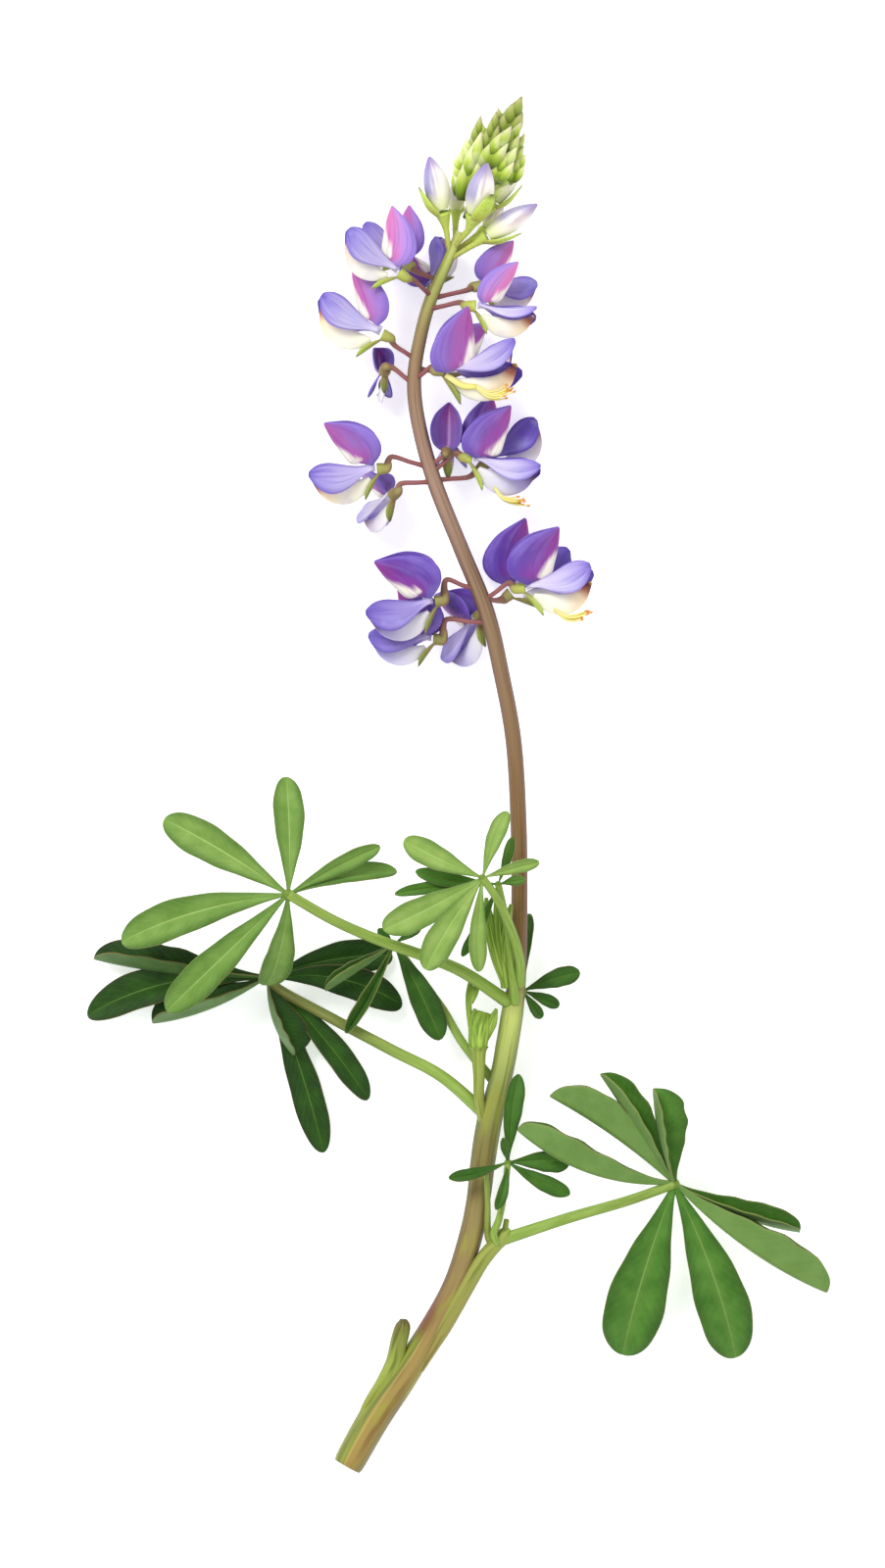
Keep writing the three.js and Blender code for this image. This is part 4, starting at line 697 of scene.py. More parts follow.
def banner_material():
    """tone runs from deep violet to pale pink. side -1 is the outer face, which has the patch."""
    m = Paint("banner", 0.5, sheen=0.12, subsurface=0.2)
    flow = m.streaks(5.0, 1.4, 3.0)
    m.two_tone(
        m.edge,
        [(0.0, 98, 38, 140), (0.4, 84, 46, 148), (1.0, 96, 66, 168)],
        [(0.0, 226, 156, 202), (0.6, 190, 142, 212), (1.0, 140, 118, 206)],
    )
    # Pale lavender patches on the petal: painted highlights.
    painted_highlight = m.plus(flow, m.times(m.noise(5.0), 0.6))
    m.coat(m.span(painted_highlight, 0.62, 1.0, 0.0, 0.35), (158, 138, 216))
    above = m.times(m.math("MAXIMUM", m.plus(m.along, -0.42), 0.0), 1.5)
    below = m.times(m.math("MAXIMUM", m.plus(m.times(m.along, -1.0), 0.38), 0.0), 3.5)
    foot = m.plus(m.times(m.edge, 1.6), above, below, m.waver(flow, 0.7))
    outer = m.fall(m.side, -0.2, 0.2)
    halo = m.blend(m.tone, (140, 52, 156), (216, 116, 180))
    m.coat(m.times(m.span(foot, 0.45, 1.35, 0.9, 0.0), outer), halo)
    near_fold = m.fall(m.plus(m.edge, m.waver(flow, 0.8)), 0.0, 0.95)
    tip = m.times(m.span(m.along, 0.55, 0.92), near_fold, 0.85)
    m.coat(tip, m.blend(m.tone, (136, 36, 134), (214, 112, 176)))
    m.coat(m.times(m.fall(foot, 0.36, 0.62), outer), (248, 240, 224))
    fold_line = m.times(m.span(m.edge, 0.03, 0.2, 0.6, 0.0), m.span(m.side, -0.2, 0.2))
    m.coat(fold_line, (196, 160, 206))
    m.coat(m.times(m.span(m.streaks(16.0, 1.0, 1.0), 0.52, 0.68), 0.22), (70, 44, 140))
    return m.finish(flow, 0.25, 0.15)


def wing_material():
    """tone runs from deep blue violet to pale lavender."""
    m = Paint("wing", 0.5, sheen=0.12, subsurface=0.2)
    flow = m.streaks(4.0, 2.0, 3.0)
    m.two_tone(
        m.plus(m.along, m.waver(flow, 0.5)),
        [(0.0, 196, 180, 222), (0.22, 112, 86, 190), (0.6, 86, 54, 168), (1.0, 62, 38, 138)],
        [(0.0, 232, 228, 238), (0.45, 212, 206, 234), (0.72, 166, 152, 220), (1.0, 94, 74, 184)],
    )
    # Pale lavender patches away from the rim: painted highlights.
    painted_highlight = m.times(m.span(m.noise(5.0, 3.0), 0.5, 0.75, 0.0, 0.5), m.fall(m.edge, 0.4, 0.95))
    m.coat(painted_highlight, (172, 170, 228))
    m.coat(m.span(m.edge, 0.72, 1.0, 0.0, 0.55), m.blend(m.tone, (70, 44, 146), (112, 90, 198)))
    m.coat(m.times(m.span(m.streaks(14.0, 1.2, 1.0), 0.52, 0.68), 0.25), (74, 64, 158))
    return m.finish(flow, 0.25, 0.15)


def keel_material():
    """tone 0 is cream, 1 a greyish lavender. The tip is dark."""
    m = Paint("keel", 0.5, sheen=0.2, subsurface=0.2)
    m.two_tone(
        m.along,
        [
            (0.0, 240, 238, 214), (0.5, 248, 242, 224), (0.78, 246, 224, 186),
            (0.87, 176, 104, 72), (0.94, 92, 34, 52), (1.0, 206, 156, 62),
        ],
        [
            (0.0, 232, 230, 226), (0.5, 208, 204, 228), (0.78, 150, 140, 204),
            (0.9, 70, 44, 104), (1.0, 44, 22, 62),
        ],
    )
    m.coat(m.span(m.noise(3.0), 0.5, 0.75, 0.0, 0.3), (206, 196, 226))
    return m.finish(m.streaks(5.0, 2.0), 0.2, 0.1)


def bud_petal_material():
    """tone 0 is greenish cream, 1 has violet down one side."""
    m = Paint("bud_petal", 0.5, sheen=0.12, subsurface=0.2)
    flow = m.streaks(3.0, 1.5, 3.0)
    stops = [(0.0, 224, 232, 166), (0.3, 244, 240, 216), (0.7, 246, 238, 236), (1.0, 214, 206, 222)]
    m.base = m.ramp(m.along, *stops)
    shade = m.plus(m.times(m.side, -1.0), m.waver(flow, 1.2))
    violet = m.times(m.span(shade, -0.2, 0.5), m.span(m.along, 0.1, 0.4))
    m.coat(m.times(violet, m.tone, 0.85), (134, 126, 186))
    fold = m.fall(m.math("ABSOLUTE", m.plus(m.side, -0.3, m.times(flow, 0.3))), 0.03, 0.16)
    m.coat(m.times(fold, 0.4, m.span(m.along, 0.25, 0.6)), (176, 132, 140))
    m.coat(m.times(m.span(m.along, 0.65, 0.97), m.tone, 0.8), (140, 118, 176))
    return m.finish(flow, 0.3, 0.12)


def calyx_material():
    """tone runs from olive brown to lime. The end of a lip, where along is 1, is dark."""
    m = Paint("calyx", 0.6, sheen=0.1, subsurface=0.1)
    m.two_tone(
        m.along,
        [(0.0, 128, 84, 70), (0.3, 124, 104, 62), (0.6, 104, 112, 44), (1.0, 74, 52, 44)],
        [(0.0, 158, 142, 74), (0.3, 184, 196, 76), (0.82, 192, 218, 90), (1.0, 92, 74, 52)],
    )
    grain = m.noise(0.6, 3.0)
    m.coat(m.span(grain, 0.5, 0.75, 0.0, 0.35), (96, 88, 40))
    m.coat(m.span(m.edge, 0.5, 1.0, 0.0, 0.2), (206, 224, 130))
    return m.finish(grain, 0.3, 0.1)


def pedicel_material():
    """tone 0 is maroon, 1 green."""
    m = Paint("pedicel", 0.5)
    stops = [(0.0, 124, 70, 68), (0.6, 148, 92, 92), (0.85, 136, 98, 80), (1.0, 126, 106, 66)]
    m.base = m.ramp(m.along, *stops)
    m.coat(m.tone, (172, 186, 96))
    # Darker maroon where the surface faces sideways and down: painted shade.
    m.coat(m.span(m.across, -0.2, 0.6, 0.35, 0.0), (92, 50, 54))
    return m.finish(m.noise(0.6), 0.3, 0.08)


def head_material():
    """tone 0 is the head's foot, 1 its top."""
    m = Paint("bud_head", 0.55, sheen=0.1, subsurface=0.1)
    # Each bud's near-black foot, where along is 0, is painted shade in the gaps between the buds.
    m.two_tone(
        m.along,
        [
            (0.0, 46, 66, 8), (0.3, 138, 170, 36), (0.55, 190, 210, 84),
            (0.8, 222, 224, 164), (1.0, 238, 226, 208),
        ],
        [(0.0, 40, 50, 8), (0.5, 120, 136, 44), (0.8, 158, 158, 88), (1.0, 98, 74, 48)],
    )
    flow = m.streaks(3.0, 1.5, 3.0)
    m.coat(m.span(flow, 0.5, 0.75, 0.0, 0.4), (96, 118, 30))
    pale = m.times(m.span(m.noise(4.0), 0.5, 0.62, 0.0, 0.45), m.span(m.tone, 0.2, 0.6, 1.0, 0.2))
    m.coat(pale, (226, 230, 176))
    flank = m.times(m.fall(m.across, 0.1, 0.7), m.span(m.along, 0.3, 0.7), 0.5)
    m.coat(flank, m.blend(m.tone, (228, 232, 178), (150, 140, 84)))
    return m.finish(flow, 0.4, 0.12)


def thread_material(name, low, high, roughness=0.5, sheen=0.0, subsurface=0.1):
    """Hairs, filaments and anthers: one colour at the foot and one at the end."""
    m = Paint(name, roughness, sheen, subsurface, specular=0.4)
    m.base = m.ramp(m.along, (0.0, *low), (1.0, *high))
    return m.finish()


# ---- leaves ----
LEAFLET_GRID = (33, 19)  # rows along a sheet, points across it
PETIOLE_GRID = (14, 40)  # sides round a tube, steps along it
HUB_GRID = (12, 8)
SHOOT_GRID = (14, 24)
SHOOT_TONE = 0.2
LEAFLET_WIDEST = 0.7  # share of its length where a leaflet is widest
LEAFLET_ROOT = 0.4  # where its blade starts, from the middle of the hub
LEAST_OPENING = 0.3  # half width of the most folded one
# A leaflet's waves along its margin, the bulge of its halves and their ripples: shares of its
# half width
MARGIN_WAVE = 0.02
BELLY = 0.07
RIPPLE = 0.03
LEAF_TONES = {
    "leaf_upper_left": 0.25, "leaf_lower_left": 0.95, "leaf_right": 0.5, "leaf_small_front": 0.68,
    "leaf_young_front": 0.0, "leaf_young_back": 0.4, "leaf_back_mid": 0.75, "leaf_back_right": 0.7,
}
TONE_DRIFT = 0.06  # how far a leaflet's tone may be off its leaf's
BROWN_PETIOLES = ["leaf_lower_left", "leaf_back_mid"]
BROWN_TONE, GREEN_TONE = 0.9, 0.15
PETIOLE_SHARE = (0.95, 1.25)  # of the radius in the solids, at the hub and at the stem
PETIOLE_FEET = {"leaf_small_front": [[7.3, -84.0, 8.2, 0.7]]}
# The knot of a hub: heights above its middle, and radii as shares of its size
HUB_KNOT = [(-0.7, 0.15), (-0.3, 0.6), (0.1, 0.72), (0.45, 0.5), (0.7, 0.1)]


def leaflet_outline(u):
    """Half width along a leaflet: a sine rise to its widest place, then a round end."""
    base = 0.1 + 0.9 * np.sin(np.pi / 2 * np.minimum(u / LEAFLET_WIDEST, 1)) ** 1.35
    past = np.maximum(0, (u - LEAFLET_WIDEST) / (1 - LEAFLET_WIDEST))
    return base * np.maximum(np.sqrt(np.maximum(1 - past**2.2, 0)), 0.03)


def add_leaflet(shape, hub, row, tone):
    dx, dy, dz, width, fold, roll, bow, sway = row
    length = np.linalg.norm((dx, dy, dz))
    ahead = np.array([dx, dy, dz]) / length
    flat_up = unit(np.array([0, 0, 1.0]) - ahead * ahead[2])
    flat_side = np.cross(flat_up, ahead)
    up = rotated(flat_up, ahead, roll)
    side = np.cross(up, ahead)
    u, v = lattice(*LEAFLET_GRID)
    u = np.sin(np.pi / 2 * u) ** 1.15
    arch = 4 * u * (1 - u) * length
    half = width / 2 * leaflet_outline(u)
    half = half * (1 + MARGIN_WAVE * np.sin(23 * u + 5 * tone + 2 * np.sign(v)))
    opened = np.maximum(half * np.cos(np.radians(fold)), np.minimum(half, LEAST_OPENING))
    rise = np.sqrt(np.maximum(half**2 - opened**2, 0))
    belly = BELLY * half * np.sin(np.pi * np.abs(v))
    ripple = RIPPLE * half * np.abs(v) ** 2 * np.sin(31 * u + 3 * np.sign(v) + 9 * tone)
    grid = (
        hub
        + ahead * (LEAFLET_ROOT + u * (length - LEAFLET_ROOT))[..., None]
        + flat_up * (bow * arch)[..., None]
        + flat_side * (sway * arch)[..., None]
        + up * (np.abs(v) * rise + belly * np.cos(np.radians(fold)) + ripple)[..., None]
        + side * (v * opened)[..., None]
    )
    add_sheet(shape, grid, painted(u, v, tone), LEAF_THICKNESS)


def petiole_relief(t, angle):
    return mix(*PETIOLE_SHARE, t) - 0.08 * np.cos(angle) ** 2


def build_leaf(name, materials):
    size, petiole, leaflets = LEAVES[name]
    shape = Shape()
    hub = np.array(petiole[0][:3])
    tone = BROWN_TONE if name in BROWN_PETIOLES else GREEN_TONE
    stalk = petiole + PETIOLE_FEET.get(name, [])
    add_tube(shape, stalk, PETIOLE_GRID, tone, slot=1, relief=petiole_relief)
    knot = [[*(hub + [0, 0, height]), radius * size] for height, radius in HUB_KNOT]
    add_tube(shape, knot, HUB_GRID, slot=1, first_side=(1, 0, 0))
    for row in leaflets:
        tone = float(np.clip(LEAF_TONES[name] + random.uniform(-TONE_DRIFT, TONE_DRIFT), 0, 1))
        add_leaflet(shape, hub, row, tone)
    shape.piece(name, materials, "leaf")


def shoot_relief(t, angle):
    return 1 + 0.1 * np.cos(2 * angle + 5 * t)


def build_shoot(name, bundles, materials):
    shape = Shape()
    for rows in bundles:
        add_tube(shape, rows, SHOOT_GRID, SHOOT_TONE, relief=shoot_relief)
    shape.piece(name, materials, "leaf")


# ---- flowers ----
FLOWER_LIST = [dict(zip(FLOWER_FIELDS, row)) for row in FLOWERS]
# How pale each flower's banner, near wing and far wing are, and how grey its keel is
FLOWER_TONES = {
    "11": (0.0, 0.3, 0.2, 0.9), "12": (0.1, 0.25, 0.1, 1.0), "13": (0.0, 0.5, 0.3, 0.9),
    "14": (0.05, 0.75, 0.3, 0.0), "15": (0.0, 0.2, 0.1, 0.5), "21": (0.35, 0.55, 0.3, 0.0),
    "22": (0.2, 1.0, 0.9, 0.6), "23": (0.15, 0.8, 0.0, 0.9), "24": (0.0, 0.1, 0.0, 0.5),
    "25": (0.25, 0.3, 0.2, 0.5), "31": (0.6, 0.7, 0.4, 0.0), "32": (0.0, 0.1, 0.0, 0.5),
    "33": (0.35, 0.75, 0.1, 0.0), "34": (0.2, 0.2, 0.1, 0.3), "41": (0.9, 0.6, 0.35, 0.2),
    "42": (0.5, 0.5, 0.4, 0.4), "43": (0.1, 0.2, 0.1, 0.6), "44": (1.0, 1.0, 0.2, 0.0),
    "45": (0.6, 0.3, 0.2, 0.4),
}
BANNER_GRID = (33, 25)
WING_GRID = (29, 17)
CLAW_GRID = (12, 4)
WING_CURL = WING_CUP + 0.06  # a thin wing curls in more than a solid one
BANNER_WAVE = 0.03  # waves of a banner's rim, as a share of its depth
KEEL_GRID = (29, 18)  # rings, and points round each
KEEL_WAIST = 0.72  # width of a keel at its middle, as a share of its width above
KEEL_PIVOT = KEEL[0][:2]


class FlowerFrame:
    """A flower's own directions, forward, back (its upper side) and side, and its size."""

    def __init__(self, flower):
        heading, pitch, roll = np.radians(flower["facing"])
        flat = np.array([np.cos(heading), np.sin(heading), 0])
        self.forward = flat * np.cos(pitch) + np.array([0, 0, np.sin(pitch)])
        in_plane = unit(np.array([0, 1.0, 0]) - self.forward * self.forward[1])
        upright = np.cross(self.forward, in_plane)
        if upright[2] < 0:
            upright = -upright
        self.back = in_plane * np.cos(roll) + upright * np.sin(roll)
        self.side = np.cross(self.back, self.forward)
        self.near = 1 if self.side[2] > 0 else -1
        self.origin = np.array(flower["mouth"], float)
        self.size = flower["size"]

    def at(self, x, y, z):
        """Points from forward, side and up distances."""
        x, y, z = np.broadcast_arrays(x, y, z)
        return self.origin + x[..., None] * self.forward + y[..., None] * self.side + z[..., None] * self.back

    def sized(self, x, y, z):
        """Points from distances in a flower of size 1."""
        return self.at(x * self.size, y * self.size, z * self.size)


def add_banner(shape, frame, flower, tone):
    turn, opening = flower["banner"]
    u, v = lattice(*BANNER_GRID)
    bend = turn * np.minimum(u / BANNER_HINGE, 1)
    spine = spline(BANNER_SPINE, u)
    rim = spline(BANNER_EDGE, u)
    sx, sz = turned(spine[..., 0], spine[..., 1], BANNER_PIVOT, bend)
    rx, rz = turned(rim[..., 0], rim[..., 1], BANNER_PIVOT, bend)
    ex, ez = mix(sx, rx, opening), mix(sz, rz, opening)
    share = np.abs(v)
    depth = np.hypot(ex - sx, ez - sz)
    out = np.sign(v) * depth * BANNER_SPREAD * np.sin(np.pi / 2 * share)
    out = out + np.sign(v) * BANNER_WAVE * depth * share**2 * np.sin(9 * u + 6 * tone)
    grid = frame.sized(mix(sx, ex, share), out, mix(sz, ez, share))
    add_sheet(shape, grid, painted(u, v, tone), PETAL_THICKNESS)


def add_wing(shape, frame, flower, hand, tone):
    near, far, flare = flower["wings"]
    turn, lean = (near, flare) if hand == frame.near else (far, WING_LEAN)
    lean = np.radians(lean)
    u, v = lattice(*WING_GRID)
    u = np.sin(np.pi / 2 * u)
    along, rise, half, apart = np.moveaxis(spline(WING, u), -1, 0)
    x, z = turned(along, rise + v * half * np.cos(lean), WING_PIVOT, turn)
    y = hand * np.maximum(apart - v * half * np.sin(lean) - WING_CURL * half * v * v, WING_INNER)
    add_sheet(shape, frame.sized(x, y, z), painted(u, v, tone), PETAL_THICKNESS, slot=1)


def build_petals(flower, materials):
    frame = FlowerFrame(flower)
    banner_tone, near_tone, far_tone, _ = FLOWER_TONES[flower["name"]]
    shape = Shape()
    add_banner(shape, frame, flower, banner_tone)
    for hand in (1, -1):
        add_wing(shape, frame, flower, hand, near_tone if hand == frame.near else far_tone)
    root = [[*frame.at(x * frame.size, y, z * frame.size), r * frame.size] for x, y, z, r in PETAL_ROOT]
    add_tube(shape, root, CLAW_GRID, near_tone, slot=1, reach=(0.0, 0.1))
    shape.piece(f"flower_{flower['name']}_petals", materials, "petal")


def build_keel(flower, materials):
    frame = FlowerFrame(flower)
    tone = FLOWER_TONES[flower["name"]][3]
    rings, sides = KEEL_GRID
    u, angle = np.meshgrid(np.linspace(0, 1, rings), np.arange(sides) * 2 * np.pi / sides, indexing="ij")
    along, rise, tall, wide = np.moveaxis(spline(KEEL, u), -1, 0)
    ahead = spline(KEEL, u + 0.02) - spline(KEEL, u - 0.02)
    slope = np.arctan2(ahead[..., 1], ahead[..., 0])
    tall = tall * np.sin(angle)
    x, z = turned(along - tall * np.sin(slope), rise + tall * np.cos(slope), KEEL_PIVOT, flower["keel"])
    wide = wide * np.cos(angle) * (KEEL_WAIST + (1 - KEEL_WAIST) * np.sin(angle))
    points = frame.sized(x, wide, z)
    shape = Shape()
    ends = points.mean(1)[[0, -1]]
    add_loft(shape, points, painted(u, np.sin(angle), tone), ends, [[0, 0, tone, 0], [1, 0, tone, 0]])
    if flower["name"] in STAMEN_FLOWERS:
        add_stamens(shape, frame, flower)
    shape.piece(f"flower_{flower['name']}_keel", materials, "keel")


# Where a bunch of stamens lies beside and above its usual place, and the sheath that then
# holds its filaments together: [forward, up, radius]
STAMEN_SHIFTS = {"33": (1.0, 1.6)}
SHEATH = [[0.2, -0.5, 0.5], [1.6, -1.5, 0.6], [3.2, -2.4, 0.62]]
SHEATH_GRID = (12, 16)
FILAMENTS = 10
FILAMENT_GRID = (8, 14)
FILAMENT_RADII = (0.24, 0.13)  # at the foot and at the tip
FILAMENT_DRIFT = 0.4  # how far one strays from the bunch
ANTHER_GRID = (8, 8)
ANTHER = [(-0.1, 0.09), (0.1, 0.18), (0.4, 0.2), (0.6, 0.06)]  # distance past the tip, radius


def add_stamens(shape, frame, flower):
    """A bunch of filaments with an anther on each."""
    size = frame.size
    aside, raised = STAMEN_SHIFTS.get(flower["name"], (0, 0))
    for _ in range(FILAMENTS):
        rows = []
        drift = random.normal(0, FILAMENT_DRIFT, 2)
        reach = random.uniform(0.75, 1.0)
        for k, (x, y, z, _) in enumerate(STAMENS):
            share = k / (len(STAMENS) - 1)
            along, rise = turned(x * mix(1, reach, share), z, KEEL_PIVOT, flower["keel"])
            across = frame.near * (y + aside) + drift[0] * (0.4 + 0.6 * share)
            at = frame.at(along * size, across, (rise + raised) * size + drift[1] * (0.4 + share))
            rows.append([*at, mix(*FILAMENT_RADII, share)])
        add_tube(shape, rows, FILAMENT_GRID, slot=1)
        tip, before = np.array(rows[-1][:3]), np.array(rows[-2][:3])
        ahead = unit(tip - before)
        add_tube(shape, [[*(tip + ahead * d), r] for d, r in ANTHER], ANTHER_GRID, slot=2)
    if flower["name"] in STAMEN_SHIFTS:
        x, y, z, radius = STAMENS[0]
        along, rise = turned(x, z, KEEL_PIVOT, flower["keel"])
        end = [*frame.at(along * size, frame.near * (y + aside), (rise + raised) * size), radius]
        sheath = [[*frame.at(x * size, frame.near * aside, z * size), r] for x, z, r in SHEATH]
        add_tube(shape, [*sheath, end], SHEATH_GRID, slot=1)


# ---- calyces, pedicels and buds ----
LIP_GRID = (15, 11)
BUD_LIP_GRID = (15, 13)
LIP_THICKNESS = 0.3
PEDICEL_GRID = (12, 26)
PEDICEL_RADII = (0.62, 0.47, 0.43, 0.5, 0.8)  # from the stem to the cup
CUP_GRID = (16, 14)
CUP_RADII = (0.55, 0.9, 1.05, CALYX_RADIUS)
GREEN_FROM = (92, 100)  # pedicels turn green between these heights on the stem
BUD_STALK_GRID = (14, 20)
BUD_GRID = (26, 30)
SCALE_GRID = (14, 16)
# Hairs on each side of a part: (number, length)
CALYX_HAIRS = (70, 0.35)
BUD_HAIRS = (110, 0.4)
SCALE_HAIRS = (30, 0.5)
OLIVE = 0.1  # tone of a usual calyx
# The tone of a flower's calyx, where it is more lime
LIME_LIPS = {
    "14": 0.8, "21": 0.3, "23": 0.8, "31": 0.6, "33": 0.3, "41": 0.8, "42": 0.6, "44": 1.0, "45": 0.4,
}


def add_lip(shape, frame, tone):
    start, end = LOWER_LIP["from"], LOWER_LIP["to"]
    u, v = lattice(*LIP_GRID)
    even, swell, taper = LIP_OUTLINE
    half = LOWER_LIP["width"] / 2 * np.maximum(even + swell * u + taper * u * u, 0.08)
    ahead = mix(start[0], end[0], u) + LOWER_LIP["hollow"] * 4 * u * (1 - u) * v * v
    grid = frame.sized(ahead, v * half, mix(start[1], end[1], u))
    return add_sheet(shape, grid, painted(u, v, tone), LIP_THICKNESS, slot=2)


def add_calyx_hairs(shape, cup, lip, ahead, hairs, tone):
    """Hairs on a cup and on both sides of a lip, each given as its points and directions."""
    grid, normal = lip
    for points, out in (cup, (grid, normal), (grid, -normal)):
        add_hairs(shape, points, out, ahead, hairs, tone, 3)


def cup_relief(t, angle):
    return 1 + 0.04 * np.cos(3 * angle + 2 * t)


def add_calyx(shape, flower):
    """The pedicel, the cup and its lip, all part of the stem."""
    frame = FlowerFrame(flower)
    root = stem_at(flower["root"])
    opening = frame.at(-CALYX_SETBACK, 0, 0)
    cup = frame.at(-CALYX_LENGTH, 0, 0)
    neck = np.array([*flower["neck"], mix(root[2], cup[2], 1 - CALYX_NECK)])
    tone = LIME_LIPS.get(flower["name"], OLIVE)
    places = (root, mix(root, neck, 0.25), mix(root, neck, 0.5), neck, cup)
    stalk = [[*place, radius] for place, radius in zip(places, PEDICEL_RADII)]
    add_tube(shape, stalk, PEDICEL_GRID, smooth(flower["root"], *GREEN_FROM), slot=1)
    places = (mix(neck, cup, 0.5), cup, mix(cup, opening, 0.5), opening)
    bell = [[*place, radius] for place, radius in zip(places, CUP_RADII)]
    cup = add_tube(shape, bell, CUP_GRID, tone, slot=2, relief=cup_relief, reach=(0.0, 0.35))
    add_calyx_hairs(shape, cup, add_lip(shape, frame, tone), frame.forward, CALYX_HAIRS, tone)


def add_spindle(shape, start, end, radius, profile, tone, grid=SCALE_GRID, relief=no_relief):
    share = np.linspace(0, 1, len(profile))[:, None]
    rows = np.concatenate([mix(start, end, share), radius * np.array(profile)[:, None]], 1)
    return add_tube(shape, rows, grid, tone, relief=relief)


def add_bud_lip(shape, start, end, radius, tone):
    length = np.linalg.norm(end - start)
    ahead = unit(end - start)
    out = unit(np.array([0, -1.0, 0]) + ahead * ahead[1])
    side = np.cross(out, ahead)
    u, v = lattice(*BUD_LIP_GRID)
    row = spline(BUD_LIP, u)
    angle = np.radians(BUD_LIP_WRAP) * v * (1 - BUD_LIP_TAPER * u * u)
    distance = row[..., 1] * radius + row[..., 2]
    grid = (
        start
        + ahead * (row[..., 0] * length)[..., None]
        + out * (distance * np.cos(angle))[..., None]
        + side * (distance * np.sin(angle))[..., None]
    )
    return add_sheet(shape, grid, painted(u, v, tone), LIP_THICKNESS, slot=2)


def add_bud_calyx(shape, bud):
    _, root_y, neck, start, end, radius = bud
    root = stem_at(root_y)
    start, end = np.array(start), np.array(end)
    ahead = unit(end - start)
    seat = start - ahead * BUD_SETBACK
    stalk = [[*root, 0.5], [*mix(root, np.array(neck), 0.5), 0.48], [*neck, 0.65], [*seat, radius * BUD_SEAT]]
    cup = add_tube(shape, stalk, BUD_STALK_GRID, 1.0, slot=2, reach=(0.0, 0.6))
    add_calyx_hairs(shape, cup, add_bud_lip(shape, start, end, radius, 1.0), ahead, BUD_HAIRS, 1.0)


FINE_BUD_PROFILE = [0.5, 0.78, 0.95, 1.0, 0.93, 0.76, 0.48, 0.1]
VIOLET_BUDS = {"1": 1.0, "2": 0.9, "3": 0.9, "4": 0.4, "5": 0.2, "6": 1.0}


def bud_relief(t, angle):
    return 1 + 0.06 * np.cos(2 * angle) + 0.03 * np.cos(3 * angle + 4 * t)


def build_bud(bud, materials):
    name, _, _, start, end, radius = bud
    shape = Shape()
    start, end = np.array(start), np.array(end)
    add_spindle(shape, start, end, radius, FINE_BUD_PROFILE, VIOLET_BUDS[name], BUD_GRID, bud_relief)
    shape.piece(f"bud_{name}", materials, "petal")


FINE_HEAD_PROFILE = [0.45, 0.85, 1.0, 0.85, 0.5, 0.08]
HEAD_AXIS_GRID = (12, 30)
CORE_SHARES = (0.85, 0.75)  # length and radius of a head bud's core
# How far a scale's foot and tip spread to the side, and how high its foot sits, in radii
FOOT_SPREAD, TIP_SPREAD, FOOT_RISE = 0.8, 1.3, 0.25
SCALE_WIDTHS = (0.55, 0.68)  # least and largest radius of a scale
DARK_TOP = (119, 125)  # the front buds darken between these heights
# The scales of a head bud: [place to the side, start and end along it, height of the end]
HEAD_SCALES = [
    [-0.5, 0.0, 0.58, 0.5], [0.55, 0.12, 0.7, 0.5], [-0.2, 0.3, 0.84, 0.35], [0.1, 0.48, 1.0, 0.0],
]
# Small buds that fill the head out: [x, y, z] from, [x, y, z] to, radius
FLANK_BUDS = [
    [[1.6, 109.6, 10.2], [-0.9, 115.4, 10.4], 1.4],
    [[3.6, 113.0, 10.4], [1.3, 119.0, 10.6], 1.3],
    [[6.0, 116.0, 10.4], [4.2, 121.9, 10.6], 1.2],
    [[8.4, 118.8, 10.2], [7.3, 124.6, 10.4], 1.1],
    [[9.4, 110.6, 10.0], [12.3, 116.2, 9.8], 1.4],
]


def add_head_bud(shape, start, end, radius, tone, ahead):
    """A core under small pointed scales, of which the last reaches its tip."""
    long, thick = CORE_SHARES
    add_spindle(shape, start, mix(start, end, long), radius * thick, FINE_HEAD_PROFILE, tone)
    side = unit(np.cross(ahead, (0, 0, 1.0)))
    up = np.cross(side, ahead)
    for aside, low, high, rise in HEAD_SCALES:
        root = mix(start, end, low) + (side * aside * FOOT_SPREAD + up * FOOT_RISE) * radius
        tip = mix(start, end, high) + (side * aside * TIP_SPREAD + up * rise) * radius
        wide = radius * random.uniform(*SCALE_WIDTHS)
        points, normal = add_spindle(shape, root, tip, wide, FINE_HEAD_PROFILE, tone, relief=bud_relief)
        add_hairs(shape, points, normal, ahead, SCALE_HAIRS, tone, 1)


def build_head(materials):
    shape = Shape()
    add_tube(shape, HEAD_AXIS, HEAD_AXIS_GRID, 0.3, reach=(0.0, 0.3))
    for start, end, radius in FRONT_BUDS + FLANK_BUDS:
        start, end = np.array(start), np.array(end)
        tone = 0.8 * smooth(end[1], *DARK_TOP)
        add_head_bud(shape, start, end, radius, tone, unit(end - start))
    for i in range(HEAD_BUDS):
        share = i / (HEAD_BUDS - 1)
        place = mix(*HEAD_SPAN, share)
        at = spline(HEAD_AXIS, place)[:3]
        ahead = direction_at(HEAD_AXIS, place)
        out = rotated(unit(np.array([1.0, 0, 0]) - ahead * ahead[0]), ahead, GOLDEN_ANGLE * i)
        lean = np.radians(mix(*HEAD_BUD_LEAN, share))
        tip = at + (ahead * np.cos(lean) + out * np.sin(lean)) * mix(*HEAD_BUD_LENGTH, share)
        add_head_bud(shape, at, tip, mix(*HEAD_BUD_RADIUS, share), smooth(share, 0.55, 0.9), ahead)
    shape.piece("bud_head", materials, "bud")


